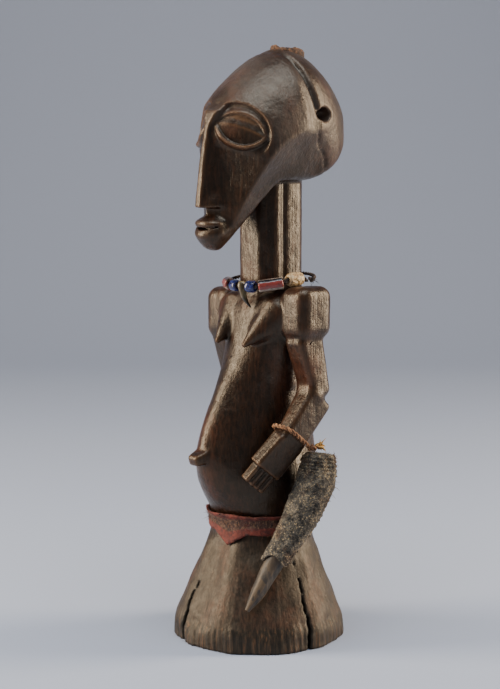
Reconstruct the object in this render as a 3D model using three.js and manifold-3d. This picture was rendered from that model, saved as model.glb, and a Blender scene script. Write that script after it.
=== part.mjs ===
// A carved wooden power figure: one block of wood with a flared foot, a belly with a long navel, hands at
// its sides, a tall neck and a large head. A hide belt, a string of beads, a covered antelope horn tied to
// the left wrist and a plug in the crown are pieces of their own.
// Units are millimetres. +Z is up, the figure faces -Y, and its left hand is towards +X.
import * as THREE from "three";
import { mergeVertices } from "three/addons/utils/BufferGeometryUtils.js";
import Module from "manifold-3d";

const wasm = await Module();
wasm.setup();

// Driving sizes
const FOOT_RADIUS = 42.6;
const SHOULDER_TILT = 0.075; // the left shoulder is higher than the right by this slope
const CROWN = { y: 18, z: 293.6, radius: 8.6, depth: 5, plugRise: 2.4 };
const GAP = 0.4; // between pieces that touch
const FIGURE_TRIANGLES = 5500;

// The trunk from the foot to the base of the neck. Each row is a level section:
// z, centre y, half width, depth forwards, depth backwards, roundness in front (2 is an ellipse).
const TRUNK = [
  [-6, 0, FOOT_RADIUS, FOOT_RADIUS, FOOT_RADIUS, 2],
  [7, 0, FOOT_RADIUS, FOOT_RADIUS, FOOT_RADIUS, 2],
  [13, 0, 41, 41, 41, 2],
  [23, 0.3, 37.2, 37.2, 37.2, 2],
  [32, 0.6, 33.3, 33.3, 33.3, 2],
  [41, 1, 29.8, 29.8, 29.8, 2],
  [49, 1.5, 26.8, 26.8, 26.6, 2],
  [57, 2, 25, 25.2, 25.6, 2],
  [62, 2.5, 24.8, 26.6, 25.4, 2],
  [68, 3, 25, 30, 25.6, 1.95],
  [75, 3, 25.6, 34.6, 26.4, 1.9],
  [83, 3, 25.4, 38.6, 27.4, 1.85],
  [91, 3, 24, 40.6, 28, 1.8],
  [98, 3, 22, 40.6, 28, 1.8],
  [107, 3, 20.4, 38.4, 27.4, 1.75],
  [116, 3, 19.6, 34.6, 26, 1.75],
  [124, 3, 19.2, 30.2, 24.4, 1.75],
  [131, 3, 19.2, 26.6, 23, 1.8],
  [140, 3, 20, 21.6, 21, 1.9],
  [150, 3.5, 22, 18, 19, 2],
  [160, 4.5, 24, 16.6, 16.8, 2.2],
  [168, 5.5, 24.5, 15, 15, 2.4],
  [175, 6.8, 22, 12, 12.5, 2.4],
  [180, 7.7, 15, 8, 9.5, 2.2],
  [185, 7.7, 7, 5, 6, 2],
];

// Arms: where each part starts and ends, and its half width and half depth at both ends. The right arm is
// drawn back a little and lies closer to the belly than the left one.
const SHOULDER = { at: [28.8, 5.6, 164], half: [9.4, 10.8, 13], round: 6 };
const UPPER_ARM = { from: [29, 3.4, 156], to: [30.2, 11.2, 124], side: [6.8, 6.6], deep: [8.2, 5.6] };
const LEFT_FOREARM = { from: [30.8, 10.4, 124.8], to: [30.6, -7.2, 103.2], side: [6, 4.6], deep: [8.2, 7.6] };
const LEFT_HAND = { from: [30.4, -6.4, 104.6], to: [21, -23.8, 81.8], side: [4.6, 4], deep: [8.2, 8.8] };
const RIGHT_FOREARM = { from: [30.8, 10.4, 124.8], to: [28, -2, 104], side: [6, 5], deep: [8.2, 7.8] };
const RIGHT_HAND = { from: [27.6, -1, 105], to: [20, -15, 83], side: [4.8, 4], deep: [8, 8.2] };
const FINGERS = { length: 11, recess: 1.3, groove: 0.9, pitch: 3.7 };

const BREAST = { tip: [10.5, -18.2, 150.6], tipRadius: 1.5, root: [14.5, -0.5, 163.5], rootRadius: 11 };
const NAVEL = { from: [0, -30, 97.5], to: [0, -43, 93.6], side: [5.8, 3.6], deep: [4, 2.6] };

const NECK = { y: 7.7, halfX: 13.4, halfY: 14.4, diagonal: 15.2, bottom: 168, top: 245 };

// The head: an egg-shaped skull cut by flat planes at the jaw and the nape, and a wedge for the face.
const SKULL = { y: 8.4, z: 252, radii: [32.2, 38.2, 41.4], leanBack: -0.08, leanFront: 0.3 };
const EYE = { at: [17.2, -27.2, 255.6], azimuth: 41, tilt: -16, halfLength: 15.4, up: 9.8 };
const NOSE = { root: 265, tip: 218, y: -29.6, rise: 9.8, thinRoot: 1.3, thinTip: 2.2, spread: 0.38 };
const EAR_HOLE = { at: [31, 15.4, 262.6], radii: [6, 4.4, 3.6] };

// Drying cracks in the foot: the angle from the front, the opening at the rim, the depth and the height.
const CRACKS = [
  { angle: -14.2, opening: 2.6, depth: 10, height: 29 },
  { angle: 86.8, opening: 1.8, depth: 9, height: 40 },
];

// The belt: a strap of hide round the waist, with one corner hanging down in front
const BELT = { bottom: 56, top: 65.5, thickness: 1.5, clear: 0.7, steps: 44 };
const BELT_CORNER = { angle: 13, drop: 6.4, halfWidth: 0.42 };

// The necklace: a ring of string that lies on the shoulders. Angles are measured from the front towards the
// figure's left, and each bead takes the string from one angle to the other.
const NECKLACE = { y: 7.7, radius: 21.8, height: 180.2, frontDrop: 1.8, clear: 0.9 };
const STRING_RADIUS = 1;
const BEAD_BORE = 1.5;
const BEADS = [
  { name: "bead_brown", from: -39, to: -17, radius: 3.1 },
  { name: "bead_blue_right", from: -12.5, to: 2.5, radius: 3 },
  { name: "bead_blue_left", from: 14.8, to: 29.8, radius: 3 },
  { name: "bead_striped", from: 31.6, to: 67, radius: 3 },
  { name: "bead_bone", from: 70.5, to: 95, radius: 3.5 },
];
const CLAW = { angle: 8.6, tip: [6.4, 168], width: 2.7, thickness: 1.7 };
const KNOT = { angle: 118, radius: 2.2 };

// The horn hangs from the left wrist. The path runs from its wide end to its tip, and the radii are those of
// the bare horn and of the cover at the same points.
const HORN_PATH = [
  [37.5, 6.6, 97.5],
  [38.1, 4.6, 85],
  [36.9, -1.8, 71],
  [33.7, -9.9, 55.7],
  [30.9, -17.1, 43.9],
  [28.8, -25.4, 30.2],
  [27.2, -30.8, 22],
];
const HORN_RADII = [8, 7.9, 7.5, 5.8, 4.9, 3.6, 1.3];
const COVER_RADII = [7.6, 10, 9.4, 7.6, 6.6];
const HORN = { start: 0.13, coverEnd: 0.66, pleats: 8, pleatDepth: 0.07 };
const CORD = { radius: 1.15, wrist: [30.7, -4.8, 105.8], clear: 0.65 };
const CORD_END = [
  [39.5, 0.6, 101],
  [38.6, 5.6, 100.6],
  [36, 8.6, 100.4],
];

// Small helpers: numbers and vectors
const clamp = (v, low, high) => Math.min(high, Math.max(low, v));
const mix = (a, b, t) => a + (b - a) * t;
const ramp = (low, high, v) => {
  const t = clamp((v - low) / (high - low), 0, 1);
  return t * t * (3 - 2 * t);
};
const bell = (v, width) => Math.exp(-(v * v) / (width * width));
const dot = (a, b) => a[0] * b[0] + a[1] * b[1] + a[2] * b[2];
const minus = (a, b) => [a[0] - b[0], a[1] - b[1], a[2] - b[2]];
const unit = (a) => {
  const length = Math.sqrt(dot(a, a));
  return [a[0] / length, a[1] / length, a[2] / length];
};
const cross = (a, b) => [a[1] * b[2] - a[2] * b[1], a[2] * b[0] - a[0] * b[2], a[0] * b[1] - a[1] * b[0]];

// Joining and cutting distance fields: k is the radius of the fillet between two shapes.
const join = (a, b, k) => {
  const h = Math.max(k - Math.abs(a - b), 0) / k;
  return Math.min(a, b) - h * h * k * 0.25;
};
const common = (a, b, k) => -join(-a, -b, k);
const cut = (a, b, k) => -join(-a, b, k);

// A smooth curve through the rows of a table, which returns all its columns at a height.
function profile(rows) {
  const columns = rows[0].length - 1;
  const slope = rows.map((row, i) => {
    const before = rows[Math.max(i - 1, 0)];
    const after = rows[Math.min(i + 1, rows.length - 1)];
    return row.slice(1).map((_, c) => (after[c + 1] - before[c + 1]) / (after[0] - before[0]));
  });
  let lastZ = NaN;
  const out = new Array(columns);
  return (z) => {
    if (z === lastZ) return out;
    lastZ = z;
    const zc = clamp(z, rows[0][0], rows[rows.length - 1][0]);
    let i = 0;
    while (i < rows.length - 2 && zc > rows[i + 1][0]) i++;
    const step = rows[i + 1][0] - rows[i][0];
    const t = (zc - rows[i][0]) / step;
    for (let c = 0; c < columns; c++) {
      const h00 = (1 + 2 * t) * (1 - t) * (1 - t);
      const h10 = t * (1 - t) * (1 - t);
      const h01 = t * t * (3 - 2 * t);
      const h11 = t * t * (t - 1);
      const values = h00 * rows[i][c + 1] + h01 * rows[i + 1][c + 1];
      out[c] = values + step * (h10 * slope[i][c] + h11 * slope[i + 1][c]);
    }
    return out;
  };
}

// Distance fields of the simple shapes
function ellipsoid(x, y, z, at, radii) {
  const px = (x - at[0]) / radii[0];
  const py = (y - at[1]) / radii[1];
  const pz = (z - at[2]) / radii[2];
  const k0 = Math.sqrt(px * px + py * py + pz * pz);
  const k1 = Math.sqrt((px / radii[0]) ** 2 + (py / radii[1]) ** 2 + (pz / radii[2]) ** 2);
  return k1 < 1e-9 ? -Math.min(...radii) : (k0 * (k0 - 1)) / k1;
}

function roundBox(x, y, z, half, radius) {
  const qx = Math.abs(x) - half[0] + radius;
  const qy = Math.abs(y) - half[1] + radius;
  const qz = Math.abs(z) - half[2] + radius;
  const outside = Math.hypot(Math.max(qx, 0), Math.max(qy, 0), Math.max(qz, 0));
  return outside + Math.min(Math.max(qx, qy, qz), 0) - radius;
}

function roundCone(x, y, z, a, radiusA, b, radiusB) {
  const ab = minus(b, a);
  const t = clamp(dot(minus([x, y, z], a), ab) / dot(ab, ab), 0, 1);
  const off = Math.hypot(x - a[0] - ab[0] * t, y - a[1] - ab[1] * t, z - a[2] - ab[2] * t);
  return off - mix(radiusA, radiusB, t);
}

// A limb with a rectangular section that tapers from one end to the other.
function limbFrame({ from, to }) {
  const along = minus(to, from);
  const length = Math.sqrt(dot(along, along));
  const axis = unit(along);
  const deep = unit(cross([1, 0, 0], axis));
  const side = cross(axis, deep);
  return { from, axis, deep, side, length };
}
function limb(x, y, z, frame, size, round) {
  const p = minus([x, y, z], frame.from);
  const s = dot(p, frame.axis);
  const t = clamp(s / frame.length, 0, 1);
  const half = [mix(size.side[0], size.side[1], t), mix(size.deep[0], size.deep[1], t), frame.length / 2];
  return roundBox(dot(p, frame.side), dot(p, frame.deep), s - frame.length / 2, half, round);
}

// The trunk: level sections, with faint flat adze facets on the foot
const trunkAt = profile(TRUNK);
const FOOT_FACETS = 11;
function trunk(x, y, z) {
  const lean = SHOULDER_TILT * ramp(125, 160, z);
  const [y0, width, front, back, power] = trunkAt(z - lean * x);
  const dy = y - y0;
  const reach = dy < 0 ? front : back;
  const p = dy < 0 ? power : 2;
  const r = Math.hypot(x, dy);
  if (r < 1e-6) return -Math.min(width, reach);
  const rho = ((Math.abs(x) / width) ** p + (Math.abs(dy) / reach) ** p) ** (1 / p);
  const turn = (Math.atan2(x, -dy) / (2 * Math.PI)) * FOOT_FACETS + 0.05;
  const offset = (turn - Math.floor(turn) - 0.5) * ((2 * Math.PI) / FOOT_FACETS);
  const facet = mix(1, Math.cos(Math.PI / FOOT_FACETS) / Math.cos(offset) + 0.02, 0.45 * ramp(60, 40, z));
  return (r - (r / rho) * facet) * 0.93;
}

// The legs show only as two soft ridges down the foot, with a hollow between them.
function legs(x, y, z) {
  const fade = ramp(2, 14, z) * ramp(56, 46, z);
  const angle = (Math.atan2(x, -y) * 180) / Math.PI;
  const ridge = 1.5 * bell(Math.abs(angle) - 24, 11);
  return fade * (ridge - 1.3 * bell(angle, 9) - 0.9 * bell(Math.abs(angle) - 62, 12));
}

// Arms and hands, worked out as if on the left
const upperArmFrame = limbFrame(UPPER_ARM);
const armsAndHands = [
  { side: 1, fore: LEFT_FOREARM, hand: LEFT_HAND },
  { side: -1, fore: RIGHT_FOREARM, hand: RIGHT_HAND },
].map((a) => ({ ...a, foreFrame: limbFrame(a.fore), handFrame: limbFrame(a.hand) }));
function arm(x, y, z) {
  const ax = Math.abs(x);
  const { fore, hand, foreFrame, handFrame } = armsAndHands[x < 0 ? 1 : 0];
  const lift = SHOULDER_TILT * x * ramp(125, 160, z);
  const [sx, sy, sz] = SHOULDER.at;
  const block = roundBox(ax - sx, y - sy, z - lift - sz, SHOULDER.half, SHOULDER.round);
  const upper = limb(ax, y, z, upperArmFrame, UPPER_ARM, 3.4);
  const lower = limb(ax, y, z, foreFrame, fore, 2.6);
  const p = minus([ax, y, z], handFrame.from);
  const s = dot(p, handFrame.axis);
  const v = dot(p, handFrame.deep);
  const fingers = ramp(handFrame.length - FINGERS.length - 0.6, handFrame.length - FINGERS.length + 0.6, s);
  const groove = bell((v / FINGERS.pitch - Math.round(v / FINGERS.pitch)) * FINGERS.pitch, 0.8);
  const palm = limb(ax, y, z, handFrame, hand, 2) + fingers * (FINGERS.recess + FINGERS.groove * groove);
  return join(block, join(upper, join(lower, palm, 2.4), 4), 2);
}

function breasts(x, y, z) {
  return roundCone(Math.abs(x), y, z, BREAST.tip, BREAST.tipRadius, BREAST.root, BREAST.rootRadius);
}

const navelFrame = limbFrame(NAVEL);
const navel = (x, y, z) => limb(x, y, z, navelFrame, NAVEL, 1.5);

function neck(x, y, z) {
  const ax = Math.abs(x);
  const ay = Math.abs(y - NECK.y);
  const sides = common(ax - NECK.halfX, ay - NECK.halfY, 1.2);
  const corners = (ax + ay) * Math.SQRT1_2 - NECK.diagonal;
  const groove = 1.1 * bell(y - NECK.y + 3, 1.6) * ramp(10, 12, ax);
  return Math.max(common(sides, corners, 1.5) + groove, NECK.bottom - z, z - NECK.top);
}

// The face, in the eye's own plane: s runs outwards along the eye, v runs up across it.
const eyeTurn = THREE.MathUtils.degToRad(EYE.azimuth);
const eyeTilt = THREE.MathUtils.degToRad(EYE.tilt);
function eyePlane(ax, y, z) {
  const t = (ax - EYE.at[0]) * Math.cos(eyeTurn) + (y - EYE.at[1]) * Math.sin(eyeTurn);
  const h = z - EYE.at[2];
  return [t * Math.cos(eyeTilt) + h * Math.sin(eyeTilt), -t * Math.sin(eyeTilt) + h * Math.cos(eyeTilt)];
}

// The relief round an eye: a socket under the brow, a hollow cheek, and the almond of the lids with its slit
function eyeRelief(ax, y, z) {
  const [s, v] = eyePlane(ax, y, z);
  const arch = Math.hypot((s + 1.2) / 16.8, (v + 2.4) / 14.4);
  const socket = -3.4 * ramp(1.05, 0.9, arch) * ramp(-10, 2, v);
  const cheek = -2.4 * bell(s + 2, 13) * ramp(-5, -12, v) * ramp(-40, -20, v);
  const radius = (EYE.halfLength ** 2 + EYE.up ** 2) / (2 * EYE.up);
  const almond = Math.hypot(s, Math.abs(v) + radius - EYE.up) - radius;
  const lid = 2.3 * ramp(0.5, -1.7, almond);
  const inner = ramp(-2, -3.2, almond);
  const ridge = 1.5 * (1 - (s / 12) ** 2);
  const ball = v > ridge ? -1.9 + 0.4 * Math.max(4 - (v - ridge), 0) : -0.3 - 0.3 * (ridge - v);
  return socket + cheek + lid + inner * ball;
}

function nose(x, y, z) {
  const t = clamp((NOSE.root - z) / (NOSE.root - NOSE.tip), 0, 1);
  const ridge = NOSE.y - NOSE.rise * Math.sqrt(t) + 1.3 * Math.max(z - NOSE.root, 0);
  const depth = Math.max(y - ridge, 0);
  const wing = 1.4 * bell(z - NOSE.tip - 2, 4);
  const brow = 5 * ramp(254, 272, z);
  const half = mix(NOSE.thinRoot, NOSE.thinTip, t) + NOSE.spread * depth + wing * ramp(1, 4, depth) + brow;
  const walls = common((Math.abs(x) - half) * 0.92, ridge - y, 1.2);
  return common(walls, Math.max(NOSE.tip - z, z - 278, y + 22), 1);
}

function mouth(x, y, z, face) {
  const drop = 0.035 * x * x;
  const upper = ellipsoid(x, y, z, [0, -31.6, 210.2], [8.4, 6, 2.7]);
  const lower = ellipsoid(x, y, z - 0.75 * drop, [0, -31.5, 204.6], [7.6, 6.4, 3]);
  const lips = join(face, join(upper, lower, 0.6), 2.6);
  const opening = Math.abs(z - 207.7 - 0.5 * drop) - 0.7 + 0.05 * Math.abs(x);
  const slit = Math.max(opening, y + 32, Math.abs(x) - 8);
  return cut(lips, slit, 0.5);
}

function head(x, y, z) {
  const ax = Math.abs(x);
  const lean = mix(SKULL.leanBack, SKULL.leanFront, ramp(34, -14, y)) * Math.max(z - SKULL.z, 0);
  const skull = ellipsoid(x, y - lean, z, [0, SKULL.y, SKULL.z], SKULL.radii);
  const along = 0.35 * (ax - 21) + 0.62 * (y + 8) + 0.7 * (z - 230);
  const below = 0.3 * (ax - 21) - 0.78 * (y + 8) + 0.55 * (z - 230);
  const hollow = 1.5 * bell(along, 24) * bell(below, 9);
  const jaw = 0.886 * (ax - 32) + 0.052 * (y - 1.2) - 0.46 * (z - 252.6) + hollow;
  const nape = 0.6 * (y - 22) - 0.8 * (z - 230.4);
  const throat = join(0.803 * (y + 22) - 0.596 * (z - 203.6), 230 - z, 4);
  const cheek = 0.556 * (ax - 26) - 0.83 * (y + 17.8) - 0.036 * (z - 251.5);
  const brow = -0.944 * (y + 34) + 0.33 * (z - 250);
  const reach = ellipsoid(x, y - lean, Math.max(z, 250), [0, SKULL.y, 250], [33.6, 44, 43]);
  const wedge = common(common(cheek, brow, 3), common(reach, Math.max(198.6 - z, y - 5), 3), 3);
  const muzzle = ellipsoid(x, y, z, [0, -28, 205.5], [10, 8.8, 8.6]);
  const front = join(join(skull, wedge, 3), muzzle, 3);
  const hairline = y - 9 - 0.12 * (284 - z);
  const cap = ramp(-0.5, 0.9, hairline) * ramp(252, 263, z);
  const under = common(jaw - 5 * ramp(16, 36, y), throat, 4);
  let d = common(common(front, under, 1.2 + 4 * ramp(12, 26, y)), nape, 5) - 0.9 * cap;
  d += 1.3 * bell(hairline + 0.6, 1.1) * ramp(258, 264, z) * ramp(292, 284, z);
  d -= eyeRelief(ax, y, z) * ramp(6, 0, Math.abs(d)) * ramp(5, -5, y);
  d = join(d, nose(x, y, z), 1.4);
  d = mouth(x, y, z, d);
  return cut(d, ellipsoid(ax, y, z, EAR_HOLE.at, EAR_HOLE.radii), 1.2);
}

function figureField(x, y, z) {
  if (z > 200) return join(head(x, y, z), neck(x, y, z), 1.5);
  let d = trunk(x, y, z) - legs(x, y, z);
  if (z < 70) return Math.max(d, -3 - z);
  d = join(d, navel(x, y, z), 1.2);
  d = join(d, breasts(x, y, z), 2);
  d = join(d, arm(x, y, z), 1.4);
  d = join(d, neck(x, y, z), 1.4);
  return z > 188 ? join(d, head(x, y, z), 1.5) : d;
}

// The closed surface where a field is zero, by marching over six tetrahedra in each grid cell. A tetrahedron
// is given by its cell corners (bit 0 is +x, bit 1 is +y, bit 2 is +z), all six wound the same way.
const TETRAHEDRA = [[0, 1, 3, 7], [0, 2, 6, 7], [0, 4, 5, 7], [0, 5, 1, 7], [0, 3, 2, 7], [0, 6, 4, 7]];
const CORNERS = [0, 1, 2, 3, 4, 5, 6, 7].map((c) => [c & 1, (c >> 1) & 1, c >> 2]);
const CLEARANCE = 0.04; // the surface keeps this part of a cell away from the grid points
function surfaceOf(field, low, high, step) {
  const count = [0, 1, 2].map((i) => Math.ceil((high[i] - low[i]) / step) + 1);
  const stride = [1, count[0], count[0] * count[1]];
  const values = new Float64Array(count[0] * count[1] * count[2]);
  for (let k = 0, n = 0; k < count[2]; k++)
    for (let j = 0; j < count[1]; j++)
      for (let i = 0; i < count[0]; i++, n++) {
        const v = field(low[0] + i * step, low[1] + j * step, low[2] + k * step);
        values[n] = v < 0 ? Math.min(v, -CLEARANCE * step) : Math.max(v, CLEARANCE * step);
      }
  const place = (n) => [
    low[0] + (n % count[0]) * step,
    low[1] + (Math.floor(n / stride[1]) % count[1]) * step,
    low[2] + Math.floor(n / stride[2]) * step,
  ];
  const positions = [];
  const triangles = [];
  const seen = new Map();
  const crossing = (a, b) => {
    const key = a < b ? a * values.length + b : b * values.length + a;
    if (!seen.has(key)) {
      const t = values[a] / (values[a] - values[b]);
      const pa = place(a);
      const pb = place(b);
      seen.set(key, positions.length / 3);
      positions.push(mix(pa[0], pb[0], t), mix(pa[1], pb[1], t), mix(pa[2], pb[2], t));
    }
    return seen.get(key);
  };
  const isOdd = (order) => {
    let swaps = 0;
    for (let i = 0; i < 4; i++) for (let j = i + 1; j < 4; j++) if (order[i] > order[j]) swaps++;
    return swaps % 2 === 1;
  };
  const march = (tetra) => {
    const inside = [0, 1, 2, 3].filter((c) => values[tetra[c]] < 0);
    const outside = [0, 1, 2, 3].filter((c) => values[tetra[c]] >= 0);
    if (inside.length === 0 || outside.length === 0) return;
    const between = (c, d) => crossing(tetra[c], tetra[d]);
    let ring;
    if (inside.length === 1) ring = outside.map((c) => between(inside[0], c));
    else if (outside.length === 1) ring = inside.map((c) => between(c, outside[0]));
    else ring = [[0, 0], [0, 1], [1, 1], [1, 0]].map(([c, d]) => between(inside[c], outside[d]));
    if (isOdd([...inside, ...outside])) ring.reverse();
    for (let i = 2; i < ring.length; i++) triangles.push(ring[0], ring[i - 1], ring[i]);
  };
  for (let k = 0; k < count[2] - 1; k++)
    for (let j = 0; j < count[1] - 1; j++)
      for (let i = 0; i < count[0] - 1; i++) {
        const base = i + j * stride[1] + k * stride[2];
        const cell = CORNERS.map(([dx, dy, dz]) => base + dx + dy * stride[1] + dz * stride[2]);
        const below = cell.filter((c) => values[c] < 0).length;
        if (below > 0 && below < 8) for (const corners of TETRAHEDRA) march(corners.map((c) => cell[c]));
      }
  return { positions: Float64Array.from(positions), triangles: Int32Array.from(triangles) };
}

// Fewer triangles for the same form: edges are collapsed in the order of the error that each makes, and an
// edge stays where its collapse would pinch the surface or turn a triangle over.
function simplified({ positions, triangles }, target) {
  const vertexCount = positions.length / 3;
  const p = Float64Array.from(positions);
  const f = Int32Array.from(triangles);
  const faceCount = f.length / 3;
  const alive = new Uint8Array(faceCount).fill(1);
  const facesOf = Array.from({ length: vertexCount }, () => []);
  const quadric = new Float64Array(vertexCount * 10);
  const at = (v) => [p[3 * v], p[3 * v + 1], p[3 * v + 2]];
  const normalOf = (a, b, c) => cross(minus(b, a), minus(c, a));
  for (let i = 0; i < faceCount; i++) {
    const [a, b, c] = [f[3 * i], f[3 * i + 1], f[3 * i + 2]];
    const n = normalOf(at(a), at(b), at(c));
    const area = Math.sqrt(dot(n, n));
    const [nx, ny, nz] = area > 1e-12 ? [n[0] / area, n[1] / area, n[2] / area] : [0, 0, 0];
    const d = -(nx * p[3 * a] + ny * p[3 * a + 1] + nz * p[3 * a + 2]);
    const q = [nx * nx, nx * ny, nx * nz, nx * d, ny * ny, ny * nz, ny * d, nz * nz, nz * d, d * d];
    for (const v of [a, b, c]) {
      facesOf[v].push(i);
      for (let k = 0; k < 10; k++) quadric[v * 10 + k] += q[k] * area;
    }
  }
  const errorAt = (q, x, y, z) =>
    q[0] * x * x + 2 * q[1] * x * y + 2 * q[2] * x * z + 2 * q[3] * x + q[4] * y * y +
    2 * q[5] * y * z + 2 * q[6] * y + q[7] * z * z + 2 * q[8] * z + q[9];
  // The best place for the vertex that an edge becomes, and what it costs
  const bestOf = (u, v) => {
    const q = new Array(10);
    for (let k = 0; k < 10; k++) q[k] = quadric[u * 10 + k] + quadric[v * 10 + k];
    const a = at(u);
    const b = at(v);
    const options = [a, b, [(a[0] + b[0]) / 2, (a[1] + b[1]) / 2, (a[2] + b[2]) / 2]];
    const columns = [
      [q[0], q[1], q[2]],
      [q[1], q[4], q[5]],
      [q[2], q[5], q[7]],
    ];
    const right = [-q[3], -q[6], -q[8]];
    const determinant = (c) => dot(c[0], cross(c[1], c[2]));
    const det = determinant(columns);
    if (Math.abs(det) > 1e-3) {
      const best = [0, 1, 2].map((k) => determinant(columns.map((c, i) => (i === k ? right : c))) / det);
      const middle = options[2];
      const near = Math.hypot(best[0] - middle[0], best[1] - middle[1], best[2] - middle[2]);
      if (near < Math.hypot(...minus(a, b))) options.push(best);
    }
    const costs = options.map((o) => errorAt(q, o[0], o[1], o[2]));
    const pick = costs.indexOf(Math.min(...costs));
    const length = Math.hypot(...minus(a, b));
    return { cost: Math.max(costs[pick], 0) + 1e-5 * length * length, place: options[pick] };
  };
  const stamp = new Int32Array(vertexCount);
  const heap = [];
  const push = (item) => {
    let i = heap.push(item) - 1;
    while (i > 0 && heap[(i - 1) >> 1].cost > heap[i].cost) {
      const parent = (i - 1) >> 1;
      [heap[i], heap[parent]] = [heap[parent], heap[i]];
      i = parent;
    }
  };
  const pop = () => {
    const top = heap[0];
    const last = heap.pop();
    if (heap.length) {
      heap[0] = last;
      for (let i = 0; ; ) {
        let small = i;
        for (const child of [2 * i + 1, 2 * i + 2])
          if (child < heap.length && heap[child].cost < heap[small].cost) small = child;
        if (small === i) break;
        [heap[i], heap[small]] = [heap[small], heap[i]];
        i = small;
      }
    }
    return top;
  };
  const neighbours = (v) => {
    const found = new Set();
    for (const i of facesOf[v]) for (let k = 0; k < 3; k++) if (f[3 * i + k] !== v) found.add(f[3 * i + k]);
    return found;
  };
  const offer = (u, v) => push({ ...bestOf(u, v), u, v, su: stamp[u], sv: stamp[v] });
  for (let v = 0; v < vertexCount; v++) for (const w of neighbours(v)) if (v < w) offer(v, w);
  const turnsOver = (v, other, place) =>
    facesOf[v].some((i) => {
      const corners = [f[3 * i], f[3 * i + 1], f[3 * i + 2]];
      if (corners.includes(other)) return false;
      const before = normalOf(...corners.map(at));
      const after = normalOf(...corners.map((c) => (c === v ? place : at(c))));
      const size = Math.sqrt(dot(after, after));
      return dot(before, after) < 0.3 * Math.sqrt(dot(before, before)) * size || size < 1e-4;
    });
  let left = faceCount;
  while (left > target && heap.length) {
    const { u, v, su, sv, place } = pop();
    if (su !== stamp[u] || sv !== stamp[v]) continue;
    const around = neighbours(v);
    const shared = [...neighbours(u)].filter((w) => around.has(w));
    if (shared.length !== 2 || turnsOver(u, v, place) || turnsOver(v, u, place)) continue;
    p.set(place, 3 * u);
    for (let k = 0; k < 10; k++) quadric[u * 10 + k] += quadric[v * 10 + k];
    for (const i of facesOf[v]) {
      const corners = [f[3 * i], f[3 * i + 1], f[3 * i + 2]];
      if (corners.includes(u)) {
        alive[i] = 0;
        left--;
      } else {
        f[3 * i + corners.indexOf(v)] = u;
        facesOf[u].push(i);
      }
    }
    facesOf[v] = [];
    for (const w of [u, ...shared]) facesOf[w] = facesOf[w].filter((i) => alive[i]);
    stamp[v] = -1;
    stamp[u]++;
    for (const w of neighbours(u)) offer(u, w);
  }
  const kept = [];
  for (let i = 0; i < faceCount; i++) if (alive[i]) kept.push(f[3 * i], f[3 * i + 1], f[3 * i + 2]);
  return { positions: p, triangles: Int32Array.from(kept) };
}

function geometryOf({ positions, triangles }) {
  const geometry = new THREE.BufferGeometry();
  geometry.setAttribute("position", new THREE.BufferAttribute(Float32Array.from(positions), 3));
  geometry.setIndex(new THREE.BufferAttribute(Uint32Array.from(triangles), 1));
  return geometry.toNonIndexed();
}

// A mesh or a three.js geometry as a manifold-3d solid, and back
function solidOfMesh({ positions, triangles }) {
  const used = [...new Set(triangles)];
  const number = new Map(used.map((v, i) => [v, i]));
  const place = (v) => [positions[3 * v], positions[3 * v + 1], positions[3 * v + 2]];
  const vertProperties = Float32Array.from(used.flatMap(place));
  const triVerts = Uint32Array.from(triangles, (v) => number.get(v));
  return new wasm.Manifold(new wasm.Mesh({ numProp: 3, vertProperties, triVerts }));
}
function solidOf(geometry) {
  const bare = geometry.index ? geometry.toNonIndexed() : geometry.clone();
  bare.deleteAttribute("normal");
  bare.deleteAttribute("uv");
  const merged = mergeVertices(bare, 1e-4);
  return solidOfMesh({ positions: merged.attributes.position.array, triangles: merged.index.array });
}
function geometryFrom(solid) {
  const mesh = solid.getMesh();
  return geometryOf({ positions: mesh.vertProperties, triangles: mesh.triVerts });
}

function material(colour, roughness) {
  return new THREE.MeshStandardMaterial({ color: colour, roughness, metalness: 0 });
}
const WOOD = material(0x3a281e, 0.38);
const RED_HIDE = material(0x6b2c22, 0.75);
const CRUST = material(0x4a4238, 0.9);
const BARE_HORN = material(0x35291f, 0.5);
const FIBRE = material(0x7a4524, 0.85);
const STRING = material(0x2f2620, 0.9);
const PACKING = material(0x6f4027, 0.9);
const BROWN_GLASS = material(0x5b3127, 0.35);
const BLUE_GLASS = material(0x1d2a63, 0.2);
const STRIPED_GLASS = material(0x7c3a33, 0.25);
const BONE = material(0xc9a878, 0.5);
const TOOTH = material(0x4c3c22, 0.4);

function named(name, geometry, finish) {
  const mesh = new THREE.Mesh(geometry, finish);
  mesh.name = name;
  return mesh;
}

// A closed skin over a row of rings wound the same way. It closes on the middles of its two end rings, or on
// itself when it is a loop.
function skin(rings, loop = false) {
  const sides = rings[0].length;
  const positions = rings.flat(2);
  const triangles = [];
  const index = (r, i) => (r % rings.length) * sides + (i % sides);
  for (let r = 0; r < (loop ? rings.length : rings.length - 1); r++)
    for (let i = 0; i < sides; i++) {
      triangles.push(index(r, i), index(r, i + 1), index(r + 1, i + 1));
      triangles.push(index(r, i), index(r + 1, i + 1), index(r + 1, i));
    }
  if (loop) return solidOfMesh({ positions, triangles });
  for (const [r, forward] of [[0, false], [rings.length - 1, true]]) {
    const middle = positions.length / 3;
    const sum = rings[r].reduce((a, p) => [a[0] + p[0], a[1] + p[1], a[2] + p[2]], [0, 0, 0]);
    positions.push(sum[0] / sides, sum[1] / sides, sum[2] / sides);
    for (let i = 0; i < sides; i++)
      triangles.push(middle, index(r, forward ? i : i + 1), index(r, forward ? i + 1 : i));
  }
  return solidOfMesh({ positions, triangles });
}

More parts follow.
